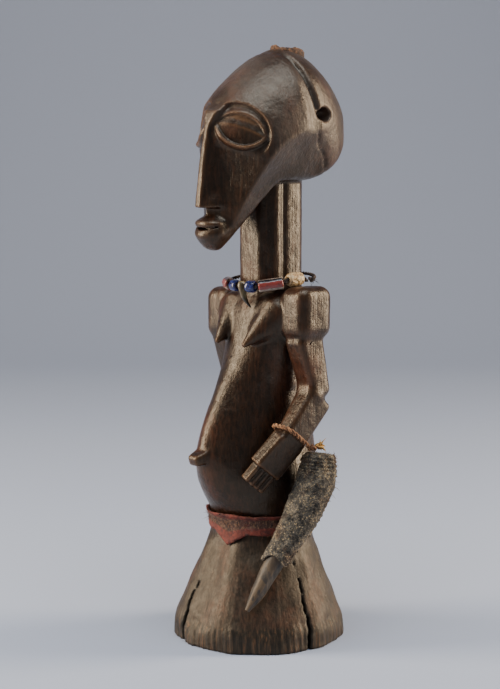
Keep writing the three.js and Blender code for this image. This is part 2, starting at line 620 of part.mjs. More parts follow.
// A tube along a path; radiusAt(t, angle) may shape its section, and t runs from 0 to 1.
function tube(path, radiusAt, sides, { loop = false, reference = [0, 0, 1] } = {}) {
  const last = path.length - 1;
  const rings = path.map((point, i) => {
    const before = path[loop ? (i + last) % path.length : Math.max(i - 1, 0)];
    const after = path[loop ? (i + 1) % path.length : Math.min(i + 1, last)];
    const tangent = unit(minus(after, before));
    const e1 = unit(cross(reference, tangent));
    const e2 = cross(tangent, e1);
    return Array.from({ length: sides }, (_, k) => {
      const angle = (2 * Math.PI * k) / sides;
      const r = radiusAt(i / last, angle);
      return [0, 1, 2].map((c) => point[c] + r * (Math.cos(angle) * e1[c] + Math.sin(angle) * e2[c]));
    });
  });
  return skin(rings, loop);
}

// Points along a smooth curve through the given ones
function curve(points, count, from = 0, to = 1) {
  const vectors = points.map((p) => new THREE.Vector3(...p));
  const spline = new THREE.CatmullRomCurve3(vectors, false, "catmullrom", 0.5);
  return Array.from({ length: count }, (_, i) => spline.getPoint(mix(from, to, i / (count - 1))).toArray());
}
const between = (list, t) => {
  const i = Math.min(Math.floor(t * (list.length - 1)), list.length - 2);
  return mix(list[i], list[i + 1], t * (list.length - 1) - i);
};

// The figure, cut flat under the foot, with its cracks and the pocket for the plug
function figure() {
  const rough = simplified(surfaceOf(figureField, [-46, -48, -4], [46, 52, 299], 1.4), FIGURE_TRIANGLES);
  const below = new THREE.BoxGeometry(200, 200, 20).translate(0, 0, -10);
  let solid = solidOfMesh(rough).subtract(solidOf(below));
  for (const crack of CRACKS) {
    const angle = THREE.MathUtils.degToRad(crack.angle);
    const at = (r, sideways, z) => [
      r * Math.sin(angle) + sideways * Math.cos(angle),
      -r * Math.cos(angle) + sideways * Math.sin(angle),
      z,
    ];
    const rim = FOOT_RADIUS + 2;
    const half = crack.opening / 2;
    const bottom = [at(rim, -half, -1), at(rim, half, -1), at(rim - 2 - crack.depth, 0, -1)];
    const top = at(trunkAt(crack.height)[1] - 2, 0, crack.height);
    const triangles = [0, 2, 1, 0, 1, 3, 1, 2, 3, 2, 0, 3];
    solid = solid.subtract(solidOfMesh({ positions: [...bottom, top].flat(), triangles }));
  }
  const radius = CROWN.radius + GAP;
  const pocket = new THREE.CylinderGeometry(radius, radius, 20, 20).rotateX(Math.PI / 2);
  return solid.subtract(solidOf(pocket.translate(0, CROWN.y, CROWN.z - CROWN.depth + 10)));
}

// The packed plug in the crown, with a ragged rim that stands up round a hollow
function crownPlug() {
  const sides = 18;
  const ring = (radius, z, rough) =>
    Array.from({ length: sides }, (_, i) => {
      const angle = (2 * Math.PI * i) / sides;
      const wave = Math.sin(3 * angle + 1) + 0.8 * Math.sin(7 * angle) + 0.6 * Math.cos(5 * angle);
      const r = radius - 0.25 * rough * Math.abs(wave);
      return [r * Math.cos(angle), CROWN.y + r * Math.sin(angle), z + 0.3 * rough * wave];
    });
  const floor = CROWN.z - CROWN.depth + GAP;
  const rim = CROWN.z + CROWN.plugRise;
  return skin([
    ring(CROWN.radius - 0.4, floor, 0),
    ring(CROWN.radius, floor + 0.6, 0),
    ring(CROWN.radius, CROWN.z - 0.8, 0),
    ring(CROWN.radius - 0.2, rim - 0.8, 1),
    ring(CROWN.radius - 1.6, rim, 1),
    ring(CROWN.radius - 3.4, rim - 1.2, 0.8),
    ring(2, rim - 1.4, 0.5),
  ]);
}

// How far out from the trunk's axis its surface lies, at an angle from the front and a height
function trunkRadius(angle, z) {
  let low = 10;
  let high = 60;
  for (let i = 0; i < 30; i++) {
    const r = (low + high) / 2;
    const x = r * Math.sin(angle);
    const y = -r * Math.cos(angle);
    if (trunk(x, y, z) - legs(x, y, z) < 0) low = r;
    else high = r;
  }
  return low;
}

function waistBelt() {
  const rings = [];
  for (let i = 0; i < BELT.steps; i++) {
    const angle = (2 * Math.PI * i) / BELT.steps;
    const fromCorner = angle - THREE.MathUtils.degToRad(BELT_CORNER.angle);
    const toCorner = Math.abs(Math.atan2(Math.sin(fromCorner), Math.cos(fromCorner)));
    const drop = BELT_CORNER.drop * Math.max(1 - toCorner / BELT_CORNER.halfWidth, 0);
    const top = BELT.top + 0.5 * Math.sin(3 * angle + 0.6) + 0.3 * Math.sin(7 * angle);
    const bottom = BELT.bottom - drop + 0.4 * Math.sin(5 * angle);
    const row = (t, out) => {
      const z = mix(bottom, top, t);
      const r = trunkRadius(angle, z) + BELT.clear + out;
      return [r * Math.sin(angle), -r * Math.cos(angle), z];
    };
    const t = BELT.thickness;
    const outside = [row(1, 0.8 * t), row(0.7, 1.15 * t), row(0.62, 0.75 * t), row(0.3, t), row(0, 0.7 * t)];
    rings.push([...outside, row(0, 0), row(0.5, 0), row(1, 0)]);
  }
  return skin(rings, true);
}

// The horn, its cover with the socket for it, and the cord from the wrist
function hornAndCover() {
  const bare = (count, from, to, extra) =>
    tube(curve(HORN_PATH, count, from, to), (t) => between(HORN_RADII, mix(from, to, t)) + extra, 14);
  const horn = bare(14, HORN.start, 1, 0);
  const socket = bare(12, HORN.start - 0.008, 0.9, GAP);
  const pleats = (t, angle) => 1 + HORN.pleatDepth * ramp(0.34, 0.1, t) * Math.cos(HORN.pleats * angle);
  const path = curve(HORN_PATH, 12, 0, HORN.coverEnd);
  const outer = tube(path, (t, angle) => between(COVER_RADII, t) * pleats(t, angle), 24);
  return { horn, cover: outer.subtract(socket) };
}

function wristCord() {
  const along = forearmAxis();
  const across = unit(cross(along, [1, 0, 0]));
  const side = cross(across, along);
  const loop = [];
  for (let i = 0; i < 20; i++) {
    const angle = (2 * Math.PI * i) / 20;
    const way = [0, 1, 2].map((c) => Math.cos(angle) * side[c] + Math.sin(angle) * across[c]);
    const place = (r) => [0, 1, 2].map((c) => CORD.wrist[c] + r * way[c]);
    let r = 3;
    while (r < 14 && figureField(...place(r)) < CORD.radius + CORD.clear) r += 0.05;
    loop.push(place(r));
  }
  const ring = tube(loop, () => CORD.radius, 6, { loop: true, reference: along });
  const low = loop.reduce((a, p) => (p[0] - p[2] > a[0] - a[2] ? p : a));
  const start = [low[0] + 1.6, low[1] + 2.6, low[2] - 1];
  const tail = curve([low, start, ...CORD_END], 9);
  return ring.add(tube(tail, () => CORD.radius, 6));
}
const forearmAxis = () => armsAndHands[0].foreFrame.axis;

// The necklace: how low the string may lie at an angle, for a bead of a given radius
const ringPoint = (angle, radius) => {
  const a = THREE.MathUtils.degToRad(angle);
  return [radius * Math.sin(a), NECKLACE.y - radius * Math.cos(a)];
};
function restingHeight(angle, radius) {
  const [x, y] = ringPoint(angle, NECKLACE.radius);
  const hanging = NECKLACE.height - NECKLACE.frontDrop * Math.cos(THREE.MathUtils.degToRad(angle));
  let z = hanging + 15;
  while (z > hanging && figureField(x, y, z) > radius + NECKLACE.clear) z -= 0.1;
  return z;
}
function beadEnds({ from, to, radius }) {
  const ends = [from, to].map((a) => [...ringPoint(a, NECKLACE.radius), restingHeight(a, radius)]);
  const pointAt = (t) => [0, 1, 2].map((c) => mix(ends[0][c], ends[1][c], t));
  const clearAt = (t) => figureField(...pointAt(t)) > radius + NECKLACE.clear;
  while (![0, 0.25, 0.5, 0.75, 1].every(clearAt)) ends.forEach((end) => (end[2] += 0.1));
  return ends;
}
const clawPoint = () => {
  const height = Math.max(...[2.5, CLAW.angle, 14.8].map((a) => restingHeight(a, 3)));
  return [...ringPoint(CLAW.angle, NECKLACE.radius), height];
};

function necklaceString() {
  const path = [];
  for (const bead of BEADS) {
    if (bead.name === "bead_blue_left") path.push(clawPoint());
    path.push(...beadEnds(bead));
  }
  for (let angle = 104; angle < 318; angle += 15) {
    path.push([...ringPoint(angle, NECKLACE.radius), restingHeight(angle, STRING_RADIUS)]);
  }
  const string = tube(path, () => STRING_RADIUS, 6, { loop: true });
  const knotAt = [...ringPoint(KNOT.angle, NECKLACE.radius), restingHeight(KNOT.angle, KNOT.radius)];
  const knot = new THREE.IcosahedronGeometry(KNOT.radius, 1).translate(...knotAt);
  return string.add(solidOf(knot));
}

// A bead with its bore, lying along the string
function beadSolid(bead) {
  const [a, b] = beadEnds(bead);
  const length = Math.hypot(...minus(b, a)) - 0.9;
  const half = length / 2;
  const r = bead.radius;
  const bulge = bead.name === "bead_bone" ? 0.12 * r : 0;
  const points = [
    [BEAD_BORE, -half],
    [r - 0.7 - bulge, -half],
    [r - bulge, -half + 0.8],
    [r, 0],
    [r - bulge, half - 0.8],
    [r - 0.7 - bulge, half],
    [BEAD_BORE, half],
    [BEAD_BORE, -half],
  ];
  const outline = points.map(([x, y]) => new THREE.Vector2(x, y));
  const geometry = new THREE.LatheGeometry(outline, 12);
  const along = new THREE.Vector3(...unit(minus(b, a)));
  geometry.applyQuaternion(new THREE.Quaternion().setFromUnitVectors(new THREE.Vector3(0, 1, 0), along));
  return solidOf(geometry.translate((a[0] + b[0]) / 2, (a[1] + b[1]) / 2, (a[2] + b[2]) / 2));
}

// The claw hangs from the string in front of the chest.
function claw() {
  const top = clawPoint();
  const lying = (x, z, radius) => {
    let y = -40;
    while (y < 0 && figureField(x, y, z) > radius + NECKLACE.clear) y += 0.1;
    return [x, y, z];
  };
  const [tipX, tipZ] = CLAW.tip;
  const tip = lying(tipX, tipZ, 0.6);
  const middle = [mix(top[0], tipX, 0.5), mix(top[1], tip[1], 0.5) - 1, mix(top[2], tipZ, 0.55)];
  const path = curve([[top[0], top[1], top[2] + 2.6], top, middle, tip], 9);
  const body = tube(path, (t, angle) => {
    const rounded = Math.sqrt(Math.max(1 - ((0.35 - t) / 0.4) ** 2, 0.05));
    const size = t < 0.35 ? rounded : 1 - 0.82 * ((t - 0.35) / 0.65);
    return size / Math.hypot(Math.cos(angle) / CLAW.width, Math.sin(angle) / CLAW.thickness);
  }, 10, { reference: [Math.cos(0.15), Math.sin(0.15), 0] });
  const [, before] = beadEnds(BEADS[1]);
  const [after] = beadEnds(BEADS[2]);
  const way = unit(minus(after, before));
  const ends = [-8, 8].map((s) => [0, 1, 2].map((c) => top[c] + s * way[c]));
  const bore = tube(ends, () => BEAD_BORE, 10);
  return body.subtract(bore);
}

const powerFigure = new THREE.Group();
const { horn, cover } = hornAndCover();
powerFigure.add(named("figure", geometryFrom(figure()), WOOD));
powerFigure.add(named("crown_plug", geometryFrom(crownPlug()), PACKING));
powerFigure.add(named("waist_belt", geometryFrom(waistBelt()), RED_HIDE));
powerFigure.add(named("horn", geometryFrom(horn), BARE_HORN));
powerFigure.add(named("horn_cover", geometryFrom(cover), CRUST));
powerFigure.add(named("wrist_cord", geometryFrom(wristCord()), FIBRE));
powerFigure.add(named("necklace_string", geometryFrom(necklaceString()), STRING));
powerFigure.add(named("claw_pendant", geometryFrom(claw()), TOOTH));
const BEAD_FINISH = [BROWN_GLASS, BLUE_GLASS, BLUE_GLASS, STRIPED_GLASS, BONE];
BEADS.forEach((bead, i) => {
  powerFigure.add(named(bead.name, geometryFrom(beadSolid(bead)), BEAD_FINISH[i]));
});

export default powerFigure;
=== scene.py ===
"""A carved wooden power figure with its hide belt, beads, crown plug and covered horn, in a plain studio.

The wooden figure is a distance field in millimetres, meshed finely here; +Z is up and the figure faces -Y.
"""

import math

import bpy
import numpy as np
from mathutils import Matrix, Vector


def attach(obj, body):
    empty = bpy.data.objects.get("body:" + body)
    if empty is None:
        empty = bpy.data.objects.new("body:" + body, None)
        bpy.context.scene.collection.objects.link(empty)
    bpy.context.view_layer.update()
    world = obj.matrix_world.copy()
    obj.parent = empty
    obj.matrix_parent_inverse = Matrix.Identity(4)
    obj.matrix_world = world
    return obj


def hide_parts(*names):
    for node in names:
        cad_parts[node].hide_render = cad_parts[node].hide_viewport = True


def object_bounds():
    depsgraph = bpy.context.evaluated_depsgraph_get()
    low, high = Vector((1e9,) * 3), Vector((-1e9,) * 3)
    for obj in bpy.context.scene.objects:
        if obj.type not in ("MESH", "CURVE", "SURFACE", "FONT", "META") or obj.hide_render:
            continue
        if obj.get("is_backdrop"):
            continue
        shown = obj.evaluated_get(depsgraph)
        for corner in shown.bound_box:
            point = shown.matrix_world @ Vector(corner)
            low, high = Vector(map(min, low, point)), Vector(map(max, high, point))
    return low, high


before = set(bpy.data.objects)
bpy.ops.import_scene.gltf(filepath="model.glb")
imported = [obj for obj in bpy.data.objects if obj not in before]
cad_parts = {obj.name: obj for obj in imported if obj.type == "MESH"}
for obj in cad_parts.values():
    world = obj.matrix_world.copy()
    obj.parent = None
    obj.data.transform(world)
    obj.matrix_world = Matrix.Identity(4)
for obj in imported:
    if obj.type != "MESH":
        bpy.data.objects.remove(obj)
BOUNDS_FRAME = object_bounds()
MM = 0.001
GRID_STEP = 1.1
GRID_LOW = (-45.5, -47.5, -1.3)
GRID_HIGH = (45.5, 51, 297.5)

# Sizes of the carving, in millimetres
FOOT_RADIUS = 42.6
SHOULDER_TILT = 0.075
CROWN = dict(y=18.0, z=293.6, radius=8.6, depth=5.0, rise=2.4)
GAP = 0.4
# The trunk's rows: height, middle, half width, reach to the front, reach to the back, power of the curve.
TRUNK = np.array([
    [-6, 0, 42.6, 42.6, 42.6, 2], [7, 0, 42.6, 42.6, 42.6, 2], [13, 0, 41, 41, 41, 2],
    [23, 0.3, 37.2, 37.2, 37.2, 2],
    [32, 0.6, 33.3, 33.3, 33.3, 2], [41, 1, 29.8, 29.8, 29.8, 2], [49, 1.5, 26.8, 26.8, 26.6, 2],
    [57, 2, 25, 25.2, 25.6, 2], [62, 2.5, 24.8, 26.6, 25.4, 2], [68, 3, 25, 30, 25.6, 1.95],
    [75, 3, 25.6, 34.6, 26.4, 1.9], [83, 3, 25.4, 38.6, 27.4, 1.85], [91, 3, 24, 40.6, 28, 1.8],
    [98, 3, 22, 40.6, 28, 1.8], [107, 3, 20.4, 38.4, 27.4, 1.75], [116, 3, 19.6, 34.6, 26, 1.75],
    [124, 3, 19.2, 30.2, 24.4, 1.75], [131, 3, 19.2, 26.6, 23, 1.8], [140, 3, 20, 21.6, 21, 1.9],
    [150, 3.5, 22, 18, 19, 2], [160, 4.5, 24, 16.6, 16.8, 2.2], [168, 5.5, 24.5, 15, 15, 2.4],
    [175, 6.8, 22, 12, 12.5, 2.4], [180, 7.7, 15, 8, 9.5, 2.2], [185, 7.7, 7, 5, 6, 2],
], float)
FOOT_FACETS = 11
SHOULDER = dict(at=(28.8, 5.6, 164), half=(9.4, 10.8, 13), round=6)
UPPER_ARM = dict(a=(29, 3.4, 156), b=(30.2, 11.2, 124), side=(6.8, 6.6), deep=(8.2, 5.6))
FOREARM = {1: dict(a=(30.8, 10.4, 124.8), b=(30.6, -7.2, 103.2), side=(6, 4.6), deep=(8.2, 7.6)),
           -1: dict(a=(30.8, 10.4, 124.8), b=(28, -2, 104), side=(6, 5), deep=(8.2, 7.8))}
HAND = {1: dict(a=(30.4, -6.4, 104.6), b=(21, -23.8, 81.8), side=(4.6, 4), deep=(8.2, 8.8)),
        -1: dict(a=(27.6, -1, 105), b=(20, -15, 83), side=(4.8, 4), deep=(8, 8.2))}
FINGERS = dict(length=11, recess=1.3, groove=0.9, pitch=3.7)
BREAST = dict(a=(10.5, -18.2, 150.6), ra=1.5, b=(14.5, -0.5, 163.5), rb=11)
NAVEL = dict(a=(0, -30, 97.5), b=(0, -43, 93.6), side=(5.8, 3.6), deep=(4, 2.6))
NECK = dict(y=7.7, hx=13.4, hy=14.4, diagonal=15.2, bottom=168, top=245)
SKULL = dict(y=8.4, z=252, radii=(32.2, 38.2, 41.4), lean=(-0.08, 0.3))
EYE = dict(at=(17.2, -27.2, 255.6), azimuth=math.radians(41), tilt=math.radians(-16), half=15.4, up=9.8)
NOSE = dict(root=265, tip=218, y=-29.6, rise=9.8, thin_top=1.3, thin_tip=2.2, spread=0.38)
EAR_HOLE = dict(at=(31, 15.4, 262.6), radii=(6, 4.4, 3.6))
CRACKS = [dict(angle=-14.2, opening=2.6, depth=10, height=29),
          dict(angle=86.8, opening=1.8, depth=9, height=40)]


# Distance fields
def mix(a, b, t):
    return a + (b - a) * t


def ramp(low, high, v):
    t = np.clip((v - low) / (high - low), 0, 1)
    return t * t * (3 - 2 * t)


def bell(v, width):
    return np.exp(-(v * v) / (width * width))


def join(a, b, k):
    h = np.maximum(k - np.abs(a - b), 0) / k
    return np.minimum(a, b) - h * h * k * 0.25


def common(a, b, k):
    return -join(-a, -b, k)


def cut(a, b, k):
    return -join(-a, b, k)


SLOPES = np.array([(TRUNK[min(i + 1, len(TRUNK) - 1)] - TRUNK[max(i - 1, 0)]) for i in range(len(TRUNK))])
SLOPES = SLOPES[:, 1:] / SLOPES[:, :1]


def trunk_at(z):
    z = np.clip(z, TRUNK[0, 0], TRUNK[-1, 0])
    i = np.clip(np.searchsorted(TRUNK[:, 0], z, side="left") - 1, 0, len(TRUNK) - 2)
    step = TRUNK[i + 1, 0] - TRUNK[i, 0]
    t = (z - TRUNK[i, 0]) / step
    h00 = (1 + 2 * t) * (1 - t) ** 2
    h10 = t * (1 - t) ** 2
    h01 = t * t * (3 - 2 * t)
    h11 = t * t * (t - 1)
    return [h00 * TRUNK[i, c + 1] + h10 * step * SLOPES[i, c]
            + h01 * TRUNK[i + 1, c + 1] + h11 * step * SLOPES[i + 1, c] for c in range(5)]


def ellipsoid(x, y, z, at, radii):
    px, py, pz = (x - at[0]) / radii[0], (y - at[1]) / radii[1], (z - at[2]) / radii[2]
    k0 = np.sqrt(px * px + py * py + pz * pz)
    k1 = np.sqrt((px / radii[0]) ** 2 + (py / radii[1]) ** 2 + (pz / radii[2]) ** 2)
    return np.where(k1 < 1e-9, -min(radii), k0 * (k0 - 1) / np.maximum(k1, 1e-9))


def round_box(x, y, z, half, radius):
    qx, qy, qz = np.abs(x) - half[0] + radius, np.abs(y) - half[1] + radius, np.abs(z) - half[2] + radius
    outside = np.sqrt(np.maximum(qx, 0) ** 2 + np.maximum(qy, 0) ** 2 + np.maximum(qz, 0) ** 2)
    return outside + np.minimum(np.maximum(np.maximum(qx, qy), qz), 0) - radius


def round_cone(x, y, z, a, ra, b, rb):
    ab = np.subtract(b, a)
    t = np.clip(((x - a[0]) * ab[0] + (y - a[1]) * ab[1] + (z - a[2]) * ab[2]) / ab.dot(ab), 0, 1)
    off = (x - a[0] - ab[0] * t, y - a[1] - ab[1] * t, z - a[2] - ab[2] * t)
    return np.sqrt(off[0] ** 2 + off[1] ** 2 + off[2] ** 2) - mix(ra, rb, t)


def limb_frame(l):
    a, b = np.array(l["a"], float), np.array(l["b"], float)
    length = np.linalg.norm(b - a)
    axis = (b - a) / length
    deep = np.cross([1, 0, 0], axis)
    deep /= np.linalg.norm(deep)
    return dict(l, a=a, axis=axis, deep_axis=deep, side_axis=np.cross(deep, axis), length=length)


def limb_coords(x, y, z, f):
    p = (x - f["a"][0], y - f["a"][1], z - f["a"][2])
    along = sum(c * q for c, q in zip(f["axis"], p))
    side = sum(c * q for c, q in zip(f["side_axis"], p))
    deep = sum(c * q for c, q in zip(f["deep_axis"], p))
    return along, side, deep


def limb(x, y, z, f, round_):
    s, u, v = limb_coords(x, y, z, f)
    t = np.clip(s / f["length"], 0, 1)
    half = (mix(*f["side"], t), mix(*f["deep"], t), f["length"] / 2)
    return round_box(u, v, s - f["length"] / 2, half, round_)


def trunk(x, y, z):
    lean = SHOULDER_TILT * ramp(125, 160, z)
    y0, width, front, back, power = trunk_at(z - lean * x)
    dy = y - y0
    reach = np.where(dy < 0, front, back)
    p = np.where(dy < 0, power, 2.0)
    r = np.maximum(np.hypot(x, dy), 1e-6)
    rho = ((np.abs(x) / width) ** p + (np.abs(dy) / reach) ** p) ** (1 / p)
    turn = np.arctan2(x, -dy) / (2 * math.pi) * FOOT_FACETS + 0.05
    offset = (turn - np.floor(turn) - 0.5) * (2 * math.pi / FOOT_FACETS)
    facet = mix(1, math.cos(math.pi / FOOT_FACETS) / np.cos(offset) + 0.02, 0.45 * ramp(60, 40, z))
    return (r - r / np.maximum(rho, 1e-6) * facet) * 0.93


def legs(x, y, z):
    fade = ramp(2, 14, z) * ramp(56, 46, z)
    angle = np.degrees(np.arctan2(x, -y))
    swell = 1.5 * bell(np.abs(angle) - 24, 11)
    return fade * (swell - 1.3 * bell(angle, 9) - 0.9 * bell(np.abs(angle) - 62, 12))


UPPER_FRAME = limb_frame(UPPER_ARM)
FOREARM_FRAME = {s: limb_frame(FOREARM[s]) for s in (1, -1)}
HAND_FRAME = {s: limb_frame(HAND[s]) for s in (1, -1)}
NAVEL_FRAME = limb_frame(NAVEL)


def arm_side(ax, y, z, x, sign):
    lift = SHOULDER_TILT * x * ramp(125, 160, z)
    at = SHOULDER["at"]
    block = round_box(ax - at[0], y - at[1], z - lift - at[2], SHOULDER["half"], SHOULDER["round"])
    upper = limb(ax, y, z, UPPER_FRAME, 3.4)
    lower = limb(ax, y, z, FOREARM_FRAME[sign], 2.6)
    hand = HAND_FRAME[sign]
    s, _, v = limb_coords(ax, y, z, hand)
    start = hand["length"] - FINGERS["length"]
    fingers = ramp(start - 0.6, start + 0.6, s)
    pitch = FINGERS["pitch"]
    groove = bell((v / pitch - np.round(v / pitch)) * pitch, 0.8)
    palm = limb(ax, y, z, hand, 2) + fingers * (FINGERS["recess"] + FINGERS["groove"] * groove)
    return join(block, join(upper, join(lower, palm, 2.4), 4), 2)


def arm(x, y, z):
    ax = np.abs(x)
    d = np.empty_like(x)
    for sign in (1, -1):
        m = x >= 0 if sign > 0 else x < 0
        d[m] = arm_side(ax[m], y[m], z[m], x[m], sign)
    return d


def neck(x, y, z):
    ax, ay = np.abs(x), np.abs(y - NECK["y"])
    sides = common(ax - NECK["hx"], ay - NECK["hy"], 1.2)
    corners = (ax + ay) * math.sqrt(0.5) - NECK["diagonal"]
    groove = 1.1 * bell(y - NECK["y"] + 3, 1.6) * ramp(10, 12, ax)
    return np.maximum(np.maximum(common(sides, corners, 1.5) + groove, NECK["bottom"] - z), z - NECK["top"])


def eye_plane(ax, y, z):
    c, s = math.cos(EYE["azimuth"]), math.sin(EYE["azimuth"])
    t = (ax - EYE["at"][0]) * c + (y - EYE["at"][1]) * s
    h = z - EYE["at"][2]
    ct, st = math.cos(EYE["tilt"]), math.sin(EYE["tilt"])
    return t * ct + h * st, -t * st + h * ct


def eye_relief(ax, y, z):
    s, v = eye_plane(ax, y, z)
    arch = np.hypot((s + 1.2) / 16.8, (v + 2.4) / 14.4)
    socket = -3.4 * ramp(1.04, 0.9, arch) * ramp(-10, 2, v)
    cheek = -2.4 * bell(s + 2, 13) * ramp(-5, -12, v) * ramp(-40, -20, v)
    radius = (EYE["half"] ** 2 + EYE["up"] ** 2) / (2 * EYE["up"])
    almond = np.hypot(s, np.abs(v) + radius - EYE["up"]) - radius
    lid = 2.3 * ramp(0.5, -1.7, almond)
    inner = ramp(-2.2, -3, almond)
    ridge = 1.5 * (1 - (s / 12) ** 2)
    ball = np.where(v > ridge, -1.9 + 0.42 * np.maximum(4 - (v - ridge), 0), -0.2 - 0.33 * (ridge - v))
    return socket + cheek + lid + inner * ball


def nose(x, y, z):
    t = np.clip((NOSE["root"] - z) / (NOSE["root"] - NOSE["tip"]), 0, 1)
    ridge = NOSE["y"] - NOSE["rise"] * np.sqrt(t) + 1.3 * np.maximum(z - NOSE["root"], 0)
    depth = np.maximum(y - ridge, 0)
    wing = 1.4 * bell(z - NOSE["tip"] - 2, 4)
    half = mix(NOSE["thin_top"], NOSE["thin_tip"], t) + NOSE["spread"] * depth + wing * ramp(1, 4, depth)
    half = half + 5 * ramp(254, 272, z)
    walls = common((np.abs(x) - half) * 0.92, ridge - y, 1.2)
    ends = np.maximum(np.maximum(NOSE["tip"] - z, z - 278), y + 22)
    return common(walls, ends, 1)


def mouth(x, y, z, face):
    drop = 0.035 * x * x
    upper = ellipsoid(x, y, z, (0, -31.6, 210.2), (8.4, 6, 2.7))
    lower = ellipsoid(x, y, z - 0.75 * drop, (0, -31.5, 204.6), (7.6, 6.4, 3))
    lips = join(face, join(upper, lower, 0.6), 2.6)
    slit = np.abs(z - 207.7 - 0.5 * drop) - 0.7 + 0.05 * np.abs(x)
    return cut(lips, np.maximum(np.maximum(slit, y + 32), np.abs(x) - 8), 0.5)


def hairline(y, z):
    return y - 9 - 0.12 * (284 - z)


def head(x, y, z):
    ax = np.abs(x)
    lean = mix(*SKULL["lean"], ramp(34, -14, y)) * np.maximum(z - SKULL["z"], 0)
    skull = ellipsoid(x, y - lean, z, (0, SKULL["y"], SKULL["z"]), SKULL["radii"])
    jaw = 0.886 * (ax - 32) + 0.052 * (y - 1.2) - 0.46 * (z - 252.6)
    along = 0.35 * (ax - 21) + 0.62 * (y + 8) + 0.7 * (z - 230)
    below = 0.30 * (ax - 21) - 0.78 * (y + 8) + 0.55 * (z - 230)
    jaw = jaw + 1.5 * bell(along, 24) * bell(below, 9)
    nape = 0.6 * (y - 22) - 0.8 * (z - 230.4)
    throat = join(0.803 * (y + 22) - 0.596 * (z - 203.6), 230 - z, 4)
    cheek = 0.556 * (ax - 26) - 0.83 * (y + 17.8) - 0.036 * (z - 251.5)
    brow = -0.944 * (y + 34) + 0.33 * (z - 250)
    reach = ellipsoid(x, y - lean, np.maximum(z, 250), (0, SKULL["y"], 250), (33.6, 44, 43))
    wedge = common(common(cheek, brow, 3), common(reach, np.maximum(198.6 - z, y - 5), 3), 3)
    muzzle = ellipsoid(x, y, z, (0, -28, 205.5), (10, 8.8, 8.6))
    front = join(join(skull, wedge, 3), muzzle, 3)
    cap = ramp(-0.5, 0.9, hairline(y, z)) * ramp(252, 263, z)
    under = common(jaw - 5 * ramp(16, 36, y), throat, 4)
    d = common(common(front, under, 1.2 + 4 * ramp(12, 26, y)), nape, 5) - 0.9 * cap
    d = d + 1.3 * bell(hairline(y, z) + 0.6, 1.1) * ramp(258, 264, z) * ramp(292, 284, z)
    d = d - eye_relief(ax, y, z) * ramp(6, 0, np.abs(d)) * ramp(5, -5, y)
    d = join(d, nose(x, y, z), 1.4)
    d = mouth(x, y, z, d)
    return cut(d, ellipsoid(ax, y, z, EAR_HOLE["at"], EAR_HOLE["radii"]), 1.2)


def figure_field(x, y, z):
    d = np.full(x.shape, 1e3)
    m = z <= 200
    d[m] = trunk(x[m], y[m], z[m]) - legs(x[m], y[m], z[m])
    m = (z >= 70) & (z <= 200)
    if m.any():
        a, b, c = x[m], y[m], z[m]
        e = join(d[m], limb(a, b, c, NAVEL_FRAME, 1.5), 1.2)
        e = join(e, round_cone(np.abs(a), b, c, BREAST["a"], BREAST["ra"], BREAST["b"], BREAST["rb"]), 2)
        e = join(e, arm(a, b, c), 1.4)
        d[m] = join(e, neck(a, b, c), 1.4)
    m = z > 200
    d[m] = neck(x[m], y[m], z[m])
    m = z > 188
    if m.any():
        d[m] = join(d[m], head(x[m], y[m], z[m]), 1.5)
    return d


def carved_field(x, y, z):
    """The figure with its finer marks: adze facets, grain, cracks, the plug's pocket, the flat underside."""
    d = figure_field(x, y, z)
    m = np.abs(d) < 3
    a, b, c = x[m], y[m], z[m]
    angle = np.arctan2(a, -b)
    waves = np.sin(angle * 9 + 0.11 * c + 1.3 * np.sin(c * 0.09))
    waves = waves * np.sin(c * 0.31 + 2.2 * np.sin(angle * 2))
    body = ramp(66, 52, c) * 0.35 + 0.12
    e = d[m] + body * 0.6 * waves
    fibre = np.sin(angle * 47 + 0.6 * np.sin(c * 0.13)) * np.sin(angle * 29 + c * 0.05 + 1)
    e = e + 0.28 * fibre * ramp(15, 9, c) + 0.08 * fibre * ramp(60, 50, c)
    lip = ramp(3.2, 0, np.abs(c - 12.5 - 1.2 * np.sin(angle * 5))) * np.maximum(np.sin(angle * 13 + 2), 0)
    e = e + 0.5 * lip * ramp(-0.4, 0.5, np.sin(angle * 4 + 1))
    for k in CRACKS:
        t = math.radians(k["angle"])
        along = a * math.sin(t) - b * math.cos(t)
        across = a * math.cos(t) + b * math.sin(t) + 0.5 * np.sin(c * 0.35) + 0.25 * np.sin(c * 1.1)
        inner = mix(FOOT_RADIUS - k["depth"], FOOT_RADIUS - 12, np.clip(c / k["height"], 0, 1))
        inner = inner - 0.28 * np.maximum(c - 8, 0)
        open_ = k["opening"] / 2 * np.clip(1 - c / (k["height"] + 3), 0, 1)
        open_ = open_ * np.clip((along - inner) / k["depth"], 0, 1)
        e = np.where((along > inner) & (c < k["height"] + 3), cut(e, np.abs(across) - open_ - 0.15, 0.25), e)
    crack = np.abs(c - 245 + 1.35 * (b - 17) - 1.2 * np.sin(c * 0.5))
    e = e + 0.9 * bell(crack, 0.9) * ramp(258, 252, c) * ramp(228, 234, c) * (np.abs(a) > 6) * ramp(8, 12, b)
    d[m] = e
    r = np.hypot(x, y - CROWN["y"]) - CROWN["radius"] - GAP
    d = np.maximum(d, -np.maximum(r, CROWN["z"] - CROWN["depth"] - z))
    return np.maximum(d, -z)


